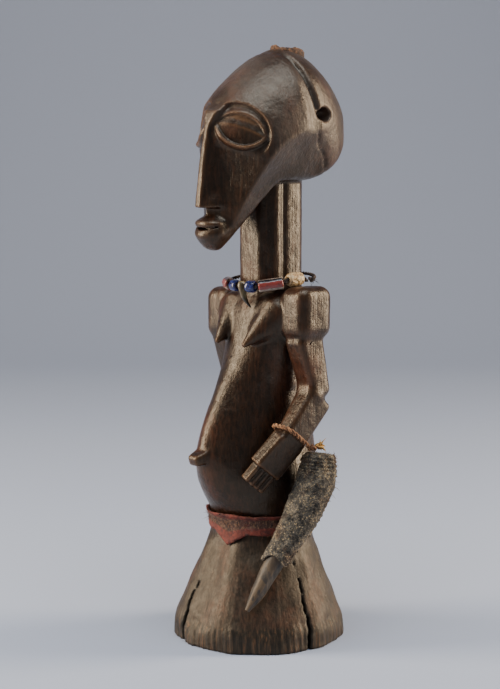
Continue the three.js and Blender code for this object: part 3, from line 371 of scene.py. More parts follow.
def surface_nets(field, low, high, step):
    """A quad mesh of the surface where the field is zero."""
    axes = [np.arange(low[i], high[i] + step, step) for i in range(3)]
    n = [len(a) for a in axes]
    v = np.empty(n)
    gx, gy = np.meshgrid(axes[0], axes[1], indexing="ij")
    for k in range(n[2]):
        v[:, :, k] = field(gx.ravel(), gy.ravel(), np.full(gx.size, axes[2][k])).reshape(gx.shape)
    inside = v < 0
    cells = [m - 1 for m in n]
    total = cells[0] * cells[1] * cells[2]
    stride = (cells[1] * cells[2], cells[2], 1)
    sums = np.zeros((total, 3))
    hits = np.zeros(total)
    quads = []
    for axis in range(3):
        first = [slice(None)] * 3
        second = [slice(None)] * 3
        first[axis], second[axis] = slice(0, -1), slice(1, None)
        va, vb = v[tuple(first)], v[tuple(second)]
        idx = np.argwhere((va < 0) != (vb < 0))
        other = [a for a in range(3) if a != axis]
        keep = np.ones(len(idx), bool)
        for o in other:
            keep &= (idx[:, o] > 0) & (idx[:, o] < n[o] - 1)
        idx = idx[keep]
        a, b = va[tuple(idx.T)], vb[tuple(idx.T)]
        p = idx.astype(float)
        p[:, axis] += a / (a - b)
        base = idx @ np.array(stride)
        around = []
        for d0, d1 in ((1, 1), (0, 1), (0, 0), (1, 0)):
            cell = base - d0 * stride[other[0]] - d1 * stride[other[1]]
            around.append(cell)
            for c in range(3):
                sums[:, c] += np.bincount(cell, p[:, c], total)
            hits += np.bincount(cell, minlength=total)
        q = np.stack(around, 1)
        flip = (a < 0) == (axis == 1)
        q[flip] = q[flip][:, ::-1]
        quads.append(q)
    quads = np.concatenate(quads)
    used = np.flatnonzero(hits)
    number = np.full(total, -1)
    number[used] = np.arange(len(used))
    verts = np.array(low) + sums[used] / hits[used, None] * step
    quads = number[quads]
    return verts, np.concatenate([quads[:, [0, 1, 2]], quads[:, [0, 2, 3]]])


def split_long(verts, tris, where):
    """Each edge whose two ends are both inside the region gets a vertex in its middle."""
    edges = np.sort(np.concatenate([tris[:, [0, 1]], tris[:, [1, 2]], tris[:, [2, 0]]]), axis=1)
    unique, index = np.unique(edges, axis=0, return_inverse=True)
    index = index.reshape(3, -1).T
    fine = where(verts)
    split = fine[unique[:, 0]] & fine[unique[:, 1]]
    number = np.full(len(unique), -1)
    number[split] = len(verts) + np.arange(split.sum())
    verts = np.concatenate([verts, (verts[unique[split, 0]] + verts[unique[split, 1]]) / 2])
    mid = number[index]
    count = (mid >= 0).sum(1)
    out = [tris[count == 0]]
    t, m = tris[count == 3], mid[count == 3]
    out += [np.stack(c, 1) for c in ((t[:, 0], m[:, 0], m[:, 2]), (t[:, 1], m[:, 1], m[:, 0]),
                                     (t[:, 2], m[:, 2], m[:, 1]), (m[:, 0], m[:, 1], m[:, 2]))]
    for e in range(3):
        pick = (count == 1) & (mid[:, e] >= 0)
        t, m = np.roll(tris[pick], -e, 1), mid[pick, e]
        out += [np.stack((t[:, 0], m, t[:, 2]), 1), np.stack((m, t[:, 1], t[:, 2]), 1)]
        pick = (count == 2) & (mid[:, e] < 0)
        t, m = np.roll(tris[pick], -e, 1), np.roll(mid[pick], -e, 1)
        out += [np.stack((t[:, 0], t[:, 1], m[:, 1]), 1), np.stack((t[:, 0], m[:, 1], m[:, 2]), 1),
                np.stack((m[:, 1], t[:, 2], m[:, 2]), 1)]
    return verts, np.concatenate(out)


def gradient(field, p, h=0.2):
    g = np.empty_like(p)
    for c in range(3):
        step = np.zeros(3)
        step[c] = h
        g[:, c] = (field(*(p + step).T) - field(*(p - step).T)) / (2 * h)
    return g


def settle(field, p, rounds=2, most=0.5):
    """Moves points onto the surface along the field's slope."""
    for _ in range(rounds):
        g = gradient(field, p)
        move = -field(*p.T) / np.maximum((g * g).sum(1), 0.2)
        step = g * move[:, None]
        length = np.linalg.norm(step, axis=1)
        p = p + step * np.minimum(1, most / np.maximum(length, 1e-9))[:, None]
    return p


def curvature(field, p, h):
    total = -6 * field(*p.T)
    for c in range(3):
        for s in (-h, h):
            step = np.zeros(3)
            step[c] = s
            total += field(*(p + step).T)
    return total / h


# Meshes and materials
def mesh_object(name, verts, faces, material, attributes=None):
    mesh = bpy.data.meshes.new(name)
    faces = np.asarray(faces)
    mesh.vertices.add(len(verts))
    mesh.vertices.foreach_set("co", (np.asarray(verts, float) * MM).ravel())
    mesh.loops.add(faces.size)
    mesh.loops.foreach_set("vertex_index", faces.ravel().astype(np.int32))
    mesh.polygons.add(len(faces))
    mesh.polygons.foreach_set("loop_start", np.arange(0, faces.size, faces.shape[1], dtype=np.int32))
    mesh.polygons.foreach_set("use_smooth", np.full(len(faces), True))
    for key, values in (attributes or {}).items():
        layer = mesh.attributes.new(key, "FLOAT", "POINT")
        layer.data.foreach_set("value", np.asarray(values, np.float32))
    mesh.update(calc_edges=True)
    mesh.validate()
    mesh.materials.append(material)
    obj = bpy.data.objects.new(name, mesh)
    bpy.context.scene.collection.objects.link(obj)
    return obj


def declare(obj, node):
    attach(obj, "root")
    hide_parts(node)
    return obj


class Shader:
    """A short way to write a material's nodes."""

    def __init__(self, name):
        self.material = bpy.data.materials.new(name)
        self.material.use_nodes = True
        self.tree = self.material.node_tree
        self.bsdf = self.tree.nodes["Principled BSDF"]
        self.coords = self.add("ShaderNodeTexCoord").outputs["Object"]

    def add(self, kind, **settings):
        node = self.tree.nodes.new(kind)
        for key, value in settings.items():
            setattr(node, key, value)
        return node

    def put(self, socket, value):
        if isinstance(value, bpy.types.NodeSocket):
            self.tree.links.new(value, socket)
        elif isinstance(value, (tuple, list)) and len(value) == 3 and socket.type == "RGBA":
            socket.default_value = (*value, 1)
        else:
            socket.default_value = value

    def attribute(self, name):
        return self.add("ShaderNodeAttribute", attribute_name=name).outputs["Fac"]

    def stretched(self, scale):
        node = self.add("ShaderNodeMapping")
        self.put(node.inputs["Vector"], self.coords)
        node.inputs["Scale"].default_value = scale
        return node.outputs["Vector"]

    def noise(self, scale, detail, rough, at=None):
        node = self.add("ShaderNodeTexNoise")
        self.put(node.inputs["Vector"], self.stretched(at) if at else self.coords)
        node.inputs["Scale"].default_value = scale
        node.inputs["Detail"].default_value = detail
        node.inputs["Roughness"].default_value = rough
        return node.outputs["Fac"]

    def steps(self, value, *stops):
        """A colour ramp through (position, colour or grey) stops."""
        node = self.add("ShaderNodeValToRGB")
        self.put(node.inputs["Fac"], value)
        ramp_ = node.color_ramp
        while len(ramp_.elements) < len(stops):
            ramp_.elements.new(0.5)
        for element, (position, colour) in zip(ramp_.elements, stops):
            element.position = position
            element.color = (*colour, 1) if isinstance(colour, tuple) else (colour, colour, colour, 1)
        return node.outputs["Color"]

    def math(self, operation, a, b=0.0, clamp=False):
        node = self.add("ShaderNodeMath", operation=operation, use_clamp=clamp)
        self.put(node.inputs[0], a)
        self.put(node.inputs[1], b)
        return node.outputs[0]

    def times(self, a, b):
        return self.math("MULTIPLY", a, b)

    def plus(self, a, b):
        return self.math("ADD", a, b)

    def mixed(self, a, share_a, b, share_b):
        return self.plus(self.times(a, share_a), self.times(b, share_b))

    def band(self, value, low, high):
        node = self.add("ShaderNodeMapRange", interpolation_type="SMOOTHSTEP")
        self.put(node.inputs["Value"], value)
        node.inputs["From Min"].default_value = low
        node.inputs["From Max"].default_value = high
        return node.outputs["Result"]

    def blend(self, factor, a, b):
        node = self.add("ShaderNodeMix", data_type="RGBA")
        self.put(node.inputs["Factor"], factor)
        self.put(node.inputs[6], a)
        self.put(node.inputs[7], b)
        return node.outputs[2]

    def axis(self, which):
        node = self.add("ShaderNodeSeparateXYZ")
        self.put(node.inputs[0], self.coords)
        return node.outputs[which]

    def bump(self, height, distance, strength=1.0, under=None):
        node = self.add("ShaderNodeBump")
        node.inputs["Distance"].default_value = distance
        node.inputs["Strength"].default_value = strength
        self.put(node.inputs["Height"], height)
        if under is not None:
            self.put(node.inputs["Normal"], under)
        return node.outputs["Normal"]

    def finish(self, colour, rough, normal=None, **constants):
        self.put(self.bsdf.inputs["Base Color"], colour)
        self.put(self.bsdf.inputs["Roughness"], rough)
        if normal is not None:
            self.put(self.bsdf.inputs["Normal"], normal)
        for key, value in constants.items():
            self.bsdf.inputs[key.replace("_", " ")].default_value = value
        return self.material


def wood_material():
    s = Shader("carved_wood")
    z = s.axis(2)
    wear_and_highlight, cavity_shade = s.attribute("wear_and_highlight"), s.attribute("cavity_shade")
    fibre = s.noise(900, 5, 0.6, at=(1, 1, 0.07))
    patch = s.noise(38, 4, 0.6, at=(1, 1, 0.5))
    spots = s.noise(260, 4, 0.65)
    base = s.steps(s.mixed(fibre, 0.55, patch, 0.45),
                   (0.3, (0.006, 0.0030, 0.0019)), (0.48, (0.017, 0.0075, 0.0042)),
                   (0.6, (0.040, 0.0155, 0.0072)), (0.75, (0.08, 0.028, 0.012)))
    base = s.blend(s.times(s.band(patch, 0.52, 0.66), 0.5), base, (0.065, 0.019, 0.009))
    worn = s.blend(s.band(spots, 0.35, 0.7), (0.17, 0.085, 0.036), (0.09, 0.036, 0.015))
    grime = s.times(s.band(s.noise(420, 5, 0.7, at=(1, 1, 0.35)), 0.5, 0.62), 0.6)
    base = s.blend(grime, base, (0.0035, 0.0025, 0.002))
    # Rubbed convex edges take the lighter worn colour. Inside the eye the same mark is a painted highlight
    # along the ridge line and the upper lid's inner edge.
    base = s.blend(s.times(wear_and_highlight, 0.62), base, worn)
    # Painted shade: concave creases and hollows, and the eye's slit, are darkened to near black.
    base = s.blend(s.times(cavity_shade, 0.75), base, (0.008, 0.005, 0.0035))
    # Painted sheen: the skull's top and a patch on the figure's left cheek below the eye are painted greyer,
    # standing in for the cool top light's satin highlight.
    skull = s.times(s.attribute("skull"), s.band(s.noise(55, 4, 0.6), 0.2, 0.75))
    base = s.blend(s.times(skull, 0.6), base, (0.075, 0.057, 0.047))
    foot = s.band(z, 0.058, 0.045)
    dry = s.steps(s.mixed(fibre, 0.7, spots, 0.3),
                  (0.34, (0.009, 0.007, 0.005)), (0.5, (0.030, 0.021, 0.014)), (0.68, (0.070, 0.049, 0.032)))
    dry = s.blend(s.times(s.band(s.noise(48, 4, 0.6, at=(1.3, 1.1, 0.6)), 0.5, 0.62), 0.75), dry,
                  s.steps(fibre, (0.38, (0.022, 0.009, 0.006)), (0.62, (0.085, 0.034, 0.018))))
    base = s.blend(s.times(foot, 0.8), base, dry)
    rim = s.times(s.band(z, 0.0135, 0.0115), 0.85)
    base = s.blend(rim, base, s.steps(fibre, (0.42, (0.006, 0.005, 0.004)), (0.56, (0.028, 0.017, 0.010)),
                                      (0.68, (0.11, 0.048, 0.020))))
    # Painted shade: the cracks' gaps are painted near black along thin lines.
    base = s.blend(s.attribute("crack"), base, (0.002, 0.0015, 0.001))
    pores = s.band(s.noise(2600, 2, 0.5, at=(1, 1, 0.12)), 0.6, 0.72)
    base = s.blend(s.times(pores, 0.45), base, (0.006, 0.004, 0.003))
    rough = s.plus(s.times(s.band(spots, 0.3, 0.75), 0.16), 0.27)
    rough = s.plus(rough, s.times(foot, 0.2))
    rough = s.math("ADD", rough, s.times(skull, 0.1), clamp=True)
    height = s.mixed(fibre, 0.6, spots, 0.5)
    normal = s.bump(height, 0.0004, 0.75)
    normal = s.bump(s.noise(120, 4, 0.55), 0.0011, 0.65, normal)
    return s.finish(base, rough, normal, Specular_IOR_Level=0.5, Specular_Tint=(1.0, 0.85, 0.66, 1))


def hair_material(name, stops, scale, rough):
    s = Shader(name)
    return s.finish(s.steps(s.noise(scale, 5, 0.62), *stops), rough)


# The figure
def build_figure():
    verts, tris = surface_nets(carved_field, GRID_LOW, GRID_HIGH, GRID_STEP)
    verts = settle(carved_field, verts)
    face = lambda p: (p[:, 2] > 196) & (p[:, 1] < -2) & (np.abs(p[:, 0]) < 32) & (p[:, 2] < 276)
    hand = lambda p: (p[:, 2] > 74) & (p[:, 2] < 116) & (p[:, 1] < -8) & (p[:, 0] > 12)
    verts, tris = split_long(verts, tris, lambda p: face(p) | hand(p))
    verts = settle(carved_field, verts)
    sharp = curvature(carved_field, verts, 1.0)
    soft = curvature(figure_field, verts, 2.5)
    # Rubbed wear on convex edges, from the field's curvature. The eye adds painted highlights to it below.
    wear_and_highlight = np.clip(sharp * 0.28 + soft * 0.22 - 0.12, 0, 1)
    # Painted shade on concave places, from the field's curvature.
    cavity_shade = np.clip(-sharp * 0.3 - soft * 0.2 - 0.1, 0, 1)
    x, y, z = verts.T
    # Where the grey painted sheen goes: the skull's top, and a patch on the figure's left cheek below the
    # eye.
    skull = ramp(252, 272, z) + ramp(10, 22, x) * ramp(232, 250, z) * ramp(-24, -10, y)
    s_, v = eye_plane(np.abs(x), y, z)
    half, up = EYE["half"], EYE["up"]
    radius = (half ** 2 + up ** 2) / (2 * up)
    # Inside the eye the colour is painted: a painted shadow in the slit just above the ridge, and painted
    # highlights along the ridge line and the upper lid's inner edge.
    inside = ramp(-1.8, -2.6, np.hypot(s_, np.abs(v) + radius - up) - radius) * (y < -10)
    above = v - 1.5 * (1 - (s_ / 12) ** 2)
    cavity_shade = np.clip(cavity_shade + inside * bell(above - 1.2, 0.8), 0, 1)
    wear_and_highlight = np.clip(wear_and_highlight + inside * (0.9 * ramp(2.2, 3.2, above) + 0.6 * bell(above + 0.4, 0.6)), 0, 1)
    # Painted shade along each crack: a thin dark line over the gap, wider where the crack opens.
    crack = np.zeros(len(verts))
    for k in CRACKS:
        t = math.radians(k["angle"])
        along = x * math.sin(t) - y * math.cos(t)
        across = x * math.cos(t) + y * math.sin(t) + 0.5 * np.sin(z * 0.35) + 0.25 * np.sin(z * 1.1)
        width = 0.45 + 0.5 * k["opening"] * np.clip(1 - z / (k["height"] + 3), 0, 1)
        line = ramp(width + 0.6, width, np.abs(across)) * (along > 8) * (z < k["height"] + 4)
        crack = np.maximum(crack, line)
    obj = mesh_object("figure_wood", verts, tris, wood_material(),
                      dict(wear_and_highlight=wear_and_highlight, cavity_shade=cavity_shade, skull=np.clip(skull, 0, 1), crack=crack))
    return declare(obj, "figure")


build_figure()


# Shapes for the smaller pieces
def spline(points, t):
    """A uniform Catmull-Rom curve through the points; t runs from 0 to 1."""
    p = np.asarray(points, float)
    p = np.vstack([2 * p[0] - p[1], p, 2 * p[-1] - p[-2]])
    s = np.clip(np.asarray(t, float), 0, 1) * (len(p) - 3)
    i = np.minimum(s.astype(int), len(p) - 4)
    f = (s - i)[:, None]
    a, b, c, d = p[i], p[i + 1], p[i + 2], p[i + 3]
    bend = (2 * a - 5 * b + 4 * c - d) * f ** 2 + (3 * b - a - 3 * c + d) * f ** 3
    return 0.5 * (2 * b + (c - a) * f + bend)


def between(values, t):
    return np.interp(t, np.linspace(0, 1, len(values)), values)


def value_noise(p, size, seed):
    q = np.asarray(p, float) / size + 137.0
    cell = np.floor(q).astype(np.int64)
    f = q - cell
    f = f * f * (3 - 2 * f)
    total = np.zeros(len(q))
    for corner in range(8):
        o = np.array([corner & 1, (corner >> 1) & 1, corner >> 2])
        c = cell + o
        h = c[:, 0] * 374761393 + c[:, 1] * 668265263 + c[:, 2] * 2147483647
        h = (h + seed * 974634777) & 0xFFFFFFFF
        h = ((h ^ (h >> 13)) * 1274126177) & 0xFFFFFFFF
        h = ((h ^ (h >> 16)) & 0xFFFF) / 32767.5 - 1
        total += h * np.prod(np.where(o, f, 1 - f), axis=1)
    return total


def rough(p, size, seed=0, octaves=3):
    return sum(value_noise(p, size / 2 ** k, seed + k) / 2 ** k for k in range(octaves))


class Route:
    """A path with a frame that doesn't twist, to lay sections along."""

    def __init__(self, points, reference=(0, 0, 1)):
        self.points = np.asarray(points, float)
        tangent = np.gradient(self.points, axis=0)
        self.tangent = tangent / np.linalg.norm(tangent, axis=1)[:, None]
        e = np.cross(reference, self.tangent[0])
        rows = []
        for t in self.tangent:
            e = e - t * e.dot(t)
            e /= np.linalg.norm(e)
            rows.append(e)
        self.e1 = np.array(rows)
        self.e2 = np.cross(self.tangent, self.e1)
        steps = np.linalg.norm(np.diff(self.points, axis=0), axis=1)
        self.run = np.concatenate([[0], np.cumsum(steps)])

    def at(self, t, angle, radius):
        s = np.asarray(t) * (len(self.points) - 1)
        i = np.clip(np.floor(s).astype(int), 0, len(self.points) - 2)
        f = (s - i)[..., None]
        pick = lambda a: a[i] * (1 - f) + a[i + 1] * f
        c, n = np.cos(angle)[..., None], np.sin(angle)[..., None]
        return pick(self.points) + np.asarray(radius)[..., None] * (c * pick(self.e1) + n * pick(self.e2))


def skin(grid, loop=False):
    """Triangles over a grid of rings, closed round each ring and at both ends, or in a loop."""
    rings, sides, _ = grid.shape
    r, i = np.meshgrid(np.arange(rings if loop else rings - 1), np.arange(sides), indexing="ij")
    a = (r * sides + i).ravel()
    b = (r * sides + (i + 1) % sides).ravel()
    c = ((r + 1) % rings * sides + (i + 1) % sides).ravel()
    d = ((r + 1) % rings * sides + i).ravel()
    tris = [np.stack([a, b, c], 1), np.stack([a, c, d], 1)]
    verts = grid.reshape(-1, 3)
    if not loop:
        ends = np.array([grid[0].mean(0), grid[-1].mean(0)])
        k = np.arange(sides)
        n = len(verts)
        tris.append(np.stack([np.full(sides, n), (k + 1) % sides, k], 1))
        last = (rings - 1) * sides
        tris.append(np.stack([np.full(sides, n + 1), last + k, last + (k + 1) % sides], 1))
        verts = np.vstack([verts, ends])
    return verts, np.concatenate(tris)


def merged(parts):
    verts, tris, n = [], [], 0
    for v, t in parts:
        verts.append(v)
        tris.append(t + n)
        n += len(v)
    return np.vstack(verts), np.vstack(tris)


def full_turn(sides):
    return np.linspace(0, 2 * math.pi, sides, endpoint=False)


def tube(points, radius, sides=10, reference=(0, 0, 1)):
    route = Route(points, reference)
    t, angle = np.meshgrid(np.linspace(0, 1, len(route.points)), full_turn(sides), indexing="ij")
    r = np.broadcast_to(np.asarray(radius, float), (len(route.points),))[:, None] * np.ones(sides)
    return skin(route.at(t, angle, r))


def twine(points, radius, pitch, seed=1, sides=9):
    """A cord of two strands twisted round each other, a little uneven."""
    route = Route(points)
    n = max(int(route.run[-1] / 0.28), 8)
    t = np.interp(np.linspace(0, route.run[-1], n), route.run, np.linspace(0, 1, len(route.points)))
    turn = np.linspace(0, route.run[-1], n) / pitch * 2 * math.pi
    parts = []
    for k in range(2):
        wobble = 1 + 0.1 * value_noise(np.stack([turn, turn * 0, turn * 0 + k], 1), 2.4, seed)
        centre = route.at(t, turn + k * math.pi, np.full(n, 0.49 * radius))
        parts.append(tube(centre, 0.5 * radius * wobble, sides))
    return merged(parts)


def strands(roots, ways, lengths, radius, seed, droop=0.3):
    """Loose fibres: thin tapering tubes that bend as they go."""
    rng = np.random.default_rng(seed)
    parts = []
    for root, way, length in zip(roots, ways, lengths):
        way = np.asarray(way, float) / np.linalg.norm(way)
        bend = rng.normal(0, 0.45, 3) + np.array([0, 0, -droop])
        s = np.linspace(0, 1, 5)[:, None]
        path = root + length * (way * s + bend * s * s)
        taper = radius * np.array([1, 0.9, 0.75, 0.5, 0.15])
        parts.append(tube(path, taper, 4, reference=(0.31, 0.52, 0.79)))
    return merged(parts)


# Sizes of the smaller pieces, in millimetres
BELT = dict(bottom=56, top=65.5, thickness=1.5, clear=0.7)
BELT_CORNER = dict(angle=math.radians(13), drop=6.4, half=0.42)
NECKLACE = dict(y=7.7, radius=21.8, height=180.2, front_drop=1.8, clear=0.9)
STRING_RADIUS = 1.0
BEAD_BORE = 1.5
# Each bead's name, its two ends as angles from the front to the figure's left, and its radius.
BEADS = [("bead_brown", -39, -17, 3.1), ("bead_blue_right", -12.5, 2.5, 3),
         ("bead_blue_left", 14.8, 29.8, 3), ("bead_striped", 31.6, 67, 3), ("bead_bone", 70.5, 95, 3.5)]
CLAW = dict(angle=8.6, tip=(6.4, 168), width=2.7, thickness=1.7)
KNOT_ANGLE = 118
HORN_PATH = [(37.5, 6.6, 97.5), (38.1, 4.6, 85), (36.9, -1.8, 71), (33.7, -9.9, 55.7),
             (30.9, -17.1, 43.9), (28.8, -25.4, 30.2), (27.2, -30.8, 22)]
HORN_RADII = (8, 7.9, 7.5, 5.8, 4.9, 3.6, 1.3)
COVER_RADII = (7.6, 10, 9.4, 7.6, 6.6)
HORN = dict(start=0.13, cover_end=0.66, pleats=8, pleat_depth=0.07)
CORD = dict(radius=1.15, wrist=(30.7, -4.8, 105.8), clear=0.65)
CORD_END = [(39.5, 0.6, 101), (38.6, 5.6, 100.6), (36, 8.6, 100.4)]
BELT_FIBRES = 420
COVER_HAIRS = 520
TUFT_HAIRS = 46
KNOT_HAIRS = 26


def build_plug():
    s = Shader("packing")
    grit = s.noise(900, 5, 0.65)
    rim = s.attribute("rim")
    colour = s.steps(grit, (0.38, (0.02, 0.011, 0.007)), (0.5, (0.085, 0.036, 0.015)),
                     (0.66, (0.24, 0.105, 0.04)))
    pit = s.steps(grit, (0.4, (0.008, 0.005, 0.004)), (0.65, (0.06, 0.03, 0.018)))
    finish = s.finish(s.blend(rim, pit, colour), 0.85, s.bump(grit, 0.0008, 0.9))
    sides = 120
    a = full_turn(sides)
    rows, rim_of = [], []
    floor, top = CROWN["z"] - CROWN["depth"] + GAP, CROWN["z"] + CROWN["rise"]
    wave = np.sin(3 * a + 1) + 0.8 * np.sin(7 * a) + 0.6 * np.cos(5 * a)
    profile = [(8.2, floor, 0, 0), (8.6, floor + 0.6, 0, 0), (8.6, CROWN["z"] - 0.8, 0, 0.6),
               (8.5, top - 1.4, 0.8, 0.9), (8.3, top - 0.6, 1, 1), (7.8, top - 0.1, 1, 1),
               (7.2, top, 1, 1), (6.6, top - 0.5, 0.9, 0.8), (5.6, top - 1.5, 0.6, 0.3),
               (4.2, top - 1.9, 0.5, 0.1), (2.6, top - 2.0, 0.5, 0.2), (1.2, top - 1.7, 0.4, 0.3)]
    for radius, z, jag, rim_value in profile:
        p = np.stack([radius * np.cos(a), CROWN["y"] + radius * np.sin(a), np.full(sides, z)], 1)
        n = rough(p, 2.4, 5, 3)
        slope = 0.64 * p[:, 0] + 0.77 * (p[:, 1] - CROWN["y"])
        p[:, 2] += jag * (0.26 * wave + 0.55 * n - 0.9 - 0.13 * slope)
        shrink = 1 - jag * 0.03 * np.abs(rough(p, 1.6, 9, 2)) - 0.02 * jag
        p[:, 0] *= shrink
        p[:, 1] = CROWN["y"] + (p[:, 1] - CROWN["y"]) * shrink
        rows.append(p)
        rim_of.append(np.full(sides, rim_value))
    verts, tris = skin(np.array(rows))
    rim_of = np.concatenate(rim_of + [[0, 0.3]])
    plug = mesh_object("crown_plug_packing", verts, tris, finish, dict(rim=rim_of))
    declare(plug, "crown_plug")


def trunk_radius(angle, z):
    low, high = np.full(angle.shape, 10.0), np.full(angle.shape, 60.0)
    for _ in range(26):
        r = (low + high) / 2
        x, y = r * np.sin(angle), -r * np.cos(angle)
        inside = trunk(x, y, z) - legs(x, y, z) < 0
        low, high = np.where(inside, r, low), np.where(inside, high, r)
    return low


def belt_point(angle, t, out):
    off = angle - BELT_CORNER["angle"]
    to_corner = np.abs(np.arctan2(np.sin(off), np.cos(off)))
    drop = BELT_CORNER["drop"] * np.maximum(1 - to_corner / BELT_CORNER["half"], 0)
    top = BELT["top"] + 0.5 * np.sin(3 * angle + 0.6) + 0.3 * np.sin(7 * angle)
    z = mix(BELT["bottom"] - drop + 0.4 * np.sin(5 * angle), top, t)
    r = trunk_radius(angle, z) + BELT["clear"] + out
    return np.stack([r * np.sin(angle), -r * np.cos(angle), z], -1)


def build_belt():
    s = Shader("red_hide")
    band = s.attribute("band")
    grain = s.noise(700, 5, 0.65)
    patch = s.noise(140, 3, 0.6)
    red = s.steps(s.mixed(grain, 0.5, patch, 0.5),
                  (0.36, (0.03, 0.009, 0.007)), (0.48, (0.10, 0.019, 0.012)), (0.62, (0.21, 0.038, 0.021)))
    fuzz = s.steps(s.noise(1500, 4, 0.7, at=(1, 1, 0.4)), (0.38, (0.018, 0.011, 0.009)),
                   (0.52, (0.07, 0.03, 0.018)), (0.66, (0.22, 0.12, 0.06)))
    middle = s.times(s.band(band, 0.36, 0.44), s.band(band, 0.86, 0.78))
    worn = s.band(s.noise(90, 3, 0.6), 0.58, 0.66)
    red = s.blend(s.times(worn, 0.5), red, (0.075, 0.055, 0.045))
    colour = s.blend(s.times(middle, s.band(patch, 0.3, 0.5)), red, fuzz)
    finish = s.finish(colour, 0.78, s.bump(grain, 0.0006, 0.8))
    angles = full_turn(420)
    outline = [(1, 0.75), (0.98, 1.1), (0.93, 1.2), (0.87, 1.1), (0.82, 0.8), (0.76, 0.72),
               (0.68, 0.75), (0.6, 0.72), (0.52, 0.74), (0.46, 0.8), (0.4, 0.98),
               (0.32, 1.02), (0.22, 1), (0.1, 0.92), (0.02, 0.75),
               (0, 0.5), (0, 0.08), (0.3, 0), (0.65, 0), (0.98, 0.05)]
    rings = []
    for t, out in outline:
        p = belt_point(angles, np.full(angles.shape, t), BELT["thickness"] * out)
        n = rough(p, 5, 3, 4)
        fibre = value_noise(p * [1, 1, 0.35], 0.9, 8)
        worn_share = 1.0 if 0.42 < t < 0.85 else 0.35
        p = belt_point(angles, np.clip(t + 0.025 * n * (t > 0.9) + 0.03 * n * (t < 0.1), 0, 1),
                       BELT["thickness"] * out + (out > 0.4) * (0.16 * n + 0.2 * worn_share * fibre - 0.12))
        rings.append(p)
    grid = np.array(rings).transpose(1, 0, 2)
    verts, tris = skin(grid, loop=True)
    tris = tris[:, ::-1]
    bands = np.tile([t for t, _ in outline], len(angles))
    hide = mesh_object("waist_belt_hide", verts, tris, finish, dict(band=bands))
    declare(hide, "waist_belt")
    rng = np.random.default_rng(21)
    count = BELT_FIBRES
    a = rng.uniform(0, 2 * math.pi, count)
    t = rng.choice([0.97, 0.62, 0.42, 0.03], count, p=[0.25, 0.4, 0.2, 0.15]) + rng.normal(0, 0.05, count)
    roots = belt_point(a, np.clip(t, 0, 1), np.full(count, 0.75 * BELT["thickness"]))
    ways = np.stack([np.sin(a), -np.cos(a), rng.normal(0, 0.8, count)], 1) + rng.normal(0, 0.6, (count, 3))
    verts, tris = strands(roots, ways, rng.uniform(0.8, 2.2, count), 0.09, 4)
    fibre = hair_material("belt_fibres", ((0.3, (0.05, 0.018, 0.012)), (0.7, (0.22, 0.09, 0.045))), 300, 0.9)
    declare(mesh_object("waist_belt_fibres", verts, tris, fibre), "waist_belt")


def horn_route():
    return Route(spline(HORN_PATH, np.linspace(0, 1, 220)))


def build_horn():
    s = Shader("bare_horn")
    streak = s.noise(260, 5, 0.6, at=(1, 1, 0.22))
    ridge = s.attribute("ridge")
    colour = s.steps(streak, (0.36, (0.011, 0.009, 0.007)), (0.5, (0.036, 0.027, 0.019)),
                     (0.66, (0.10, 0.07, 0.042)))
    colour = s.blend(s.times(ridge, 0.5), colour, (0.15, 0.09, 0.04))
    finish = s.finish(colour, 0.58, s.bump(streak, 0.0006, 0.8))
    route = horn_route()
    t, a = np.meshgrid(np.linspace(HORN["start"], 1, 240), full_turn(72), indexing="ij")
    base = route.at(t, a, between(HORN_RADII, t))
    flutes = np.maximum(np.cos(3 * a + 0.8 * np.sin(5 * t)), 0)
    groove = bell(np.cos((a - 2.0) / 2), 0.12)
    n = rough(base.reshape(-1, 3) * [1, 1, 0.5], 4, 2, 3).reshape(t.shape)
    grow = 0.045 * flutes + 0.09 * groove * ramp(0.6, 0.9, t)
    r = between(HORN_RADII, t) * (1 - grow) - 0.12 * np.abs(n)
    verts, tris = skin(route.at(t, a, r))
    ridge = (ramp(0.35, 0.02, flutes) * ramp(0.55, 0.75, t) * (n > -0.3)).ravel()
    horn = mesh_object("horn_bare", verts, tris, finish, dict(ridge=np.append(ridge, [0, 0])))
    declare(horn, "horn")


def cover_radius(t, a):
    pleats = HORN["pleat_depth"] * ramp(0.34, 0.1, t) * np.cos(HORN["pleats"] * a)
    return between(COVER_RADII, t) * (1 + pleats)


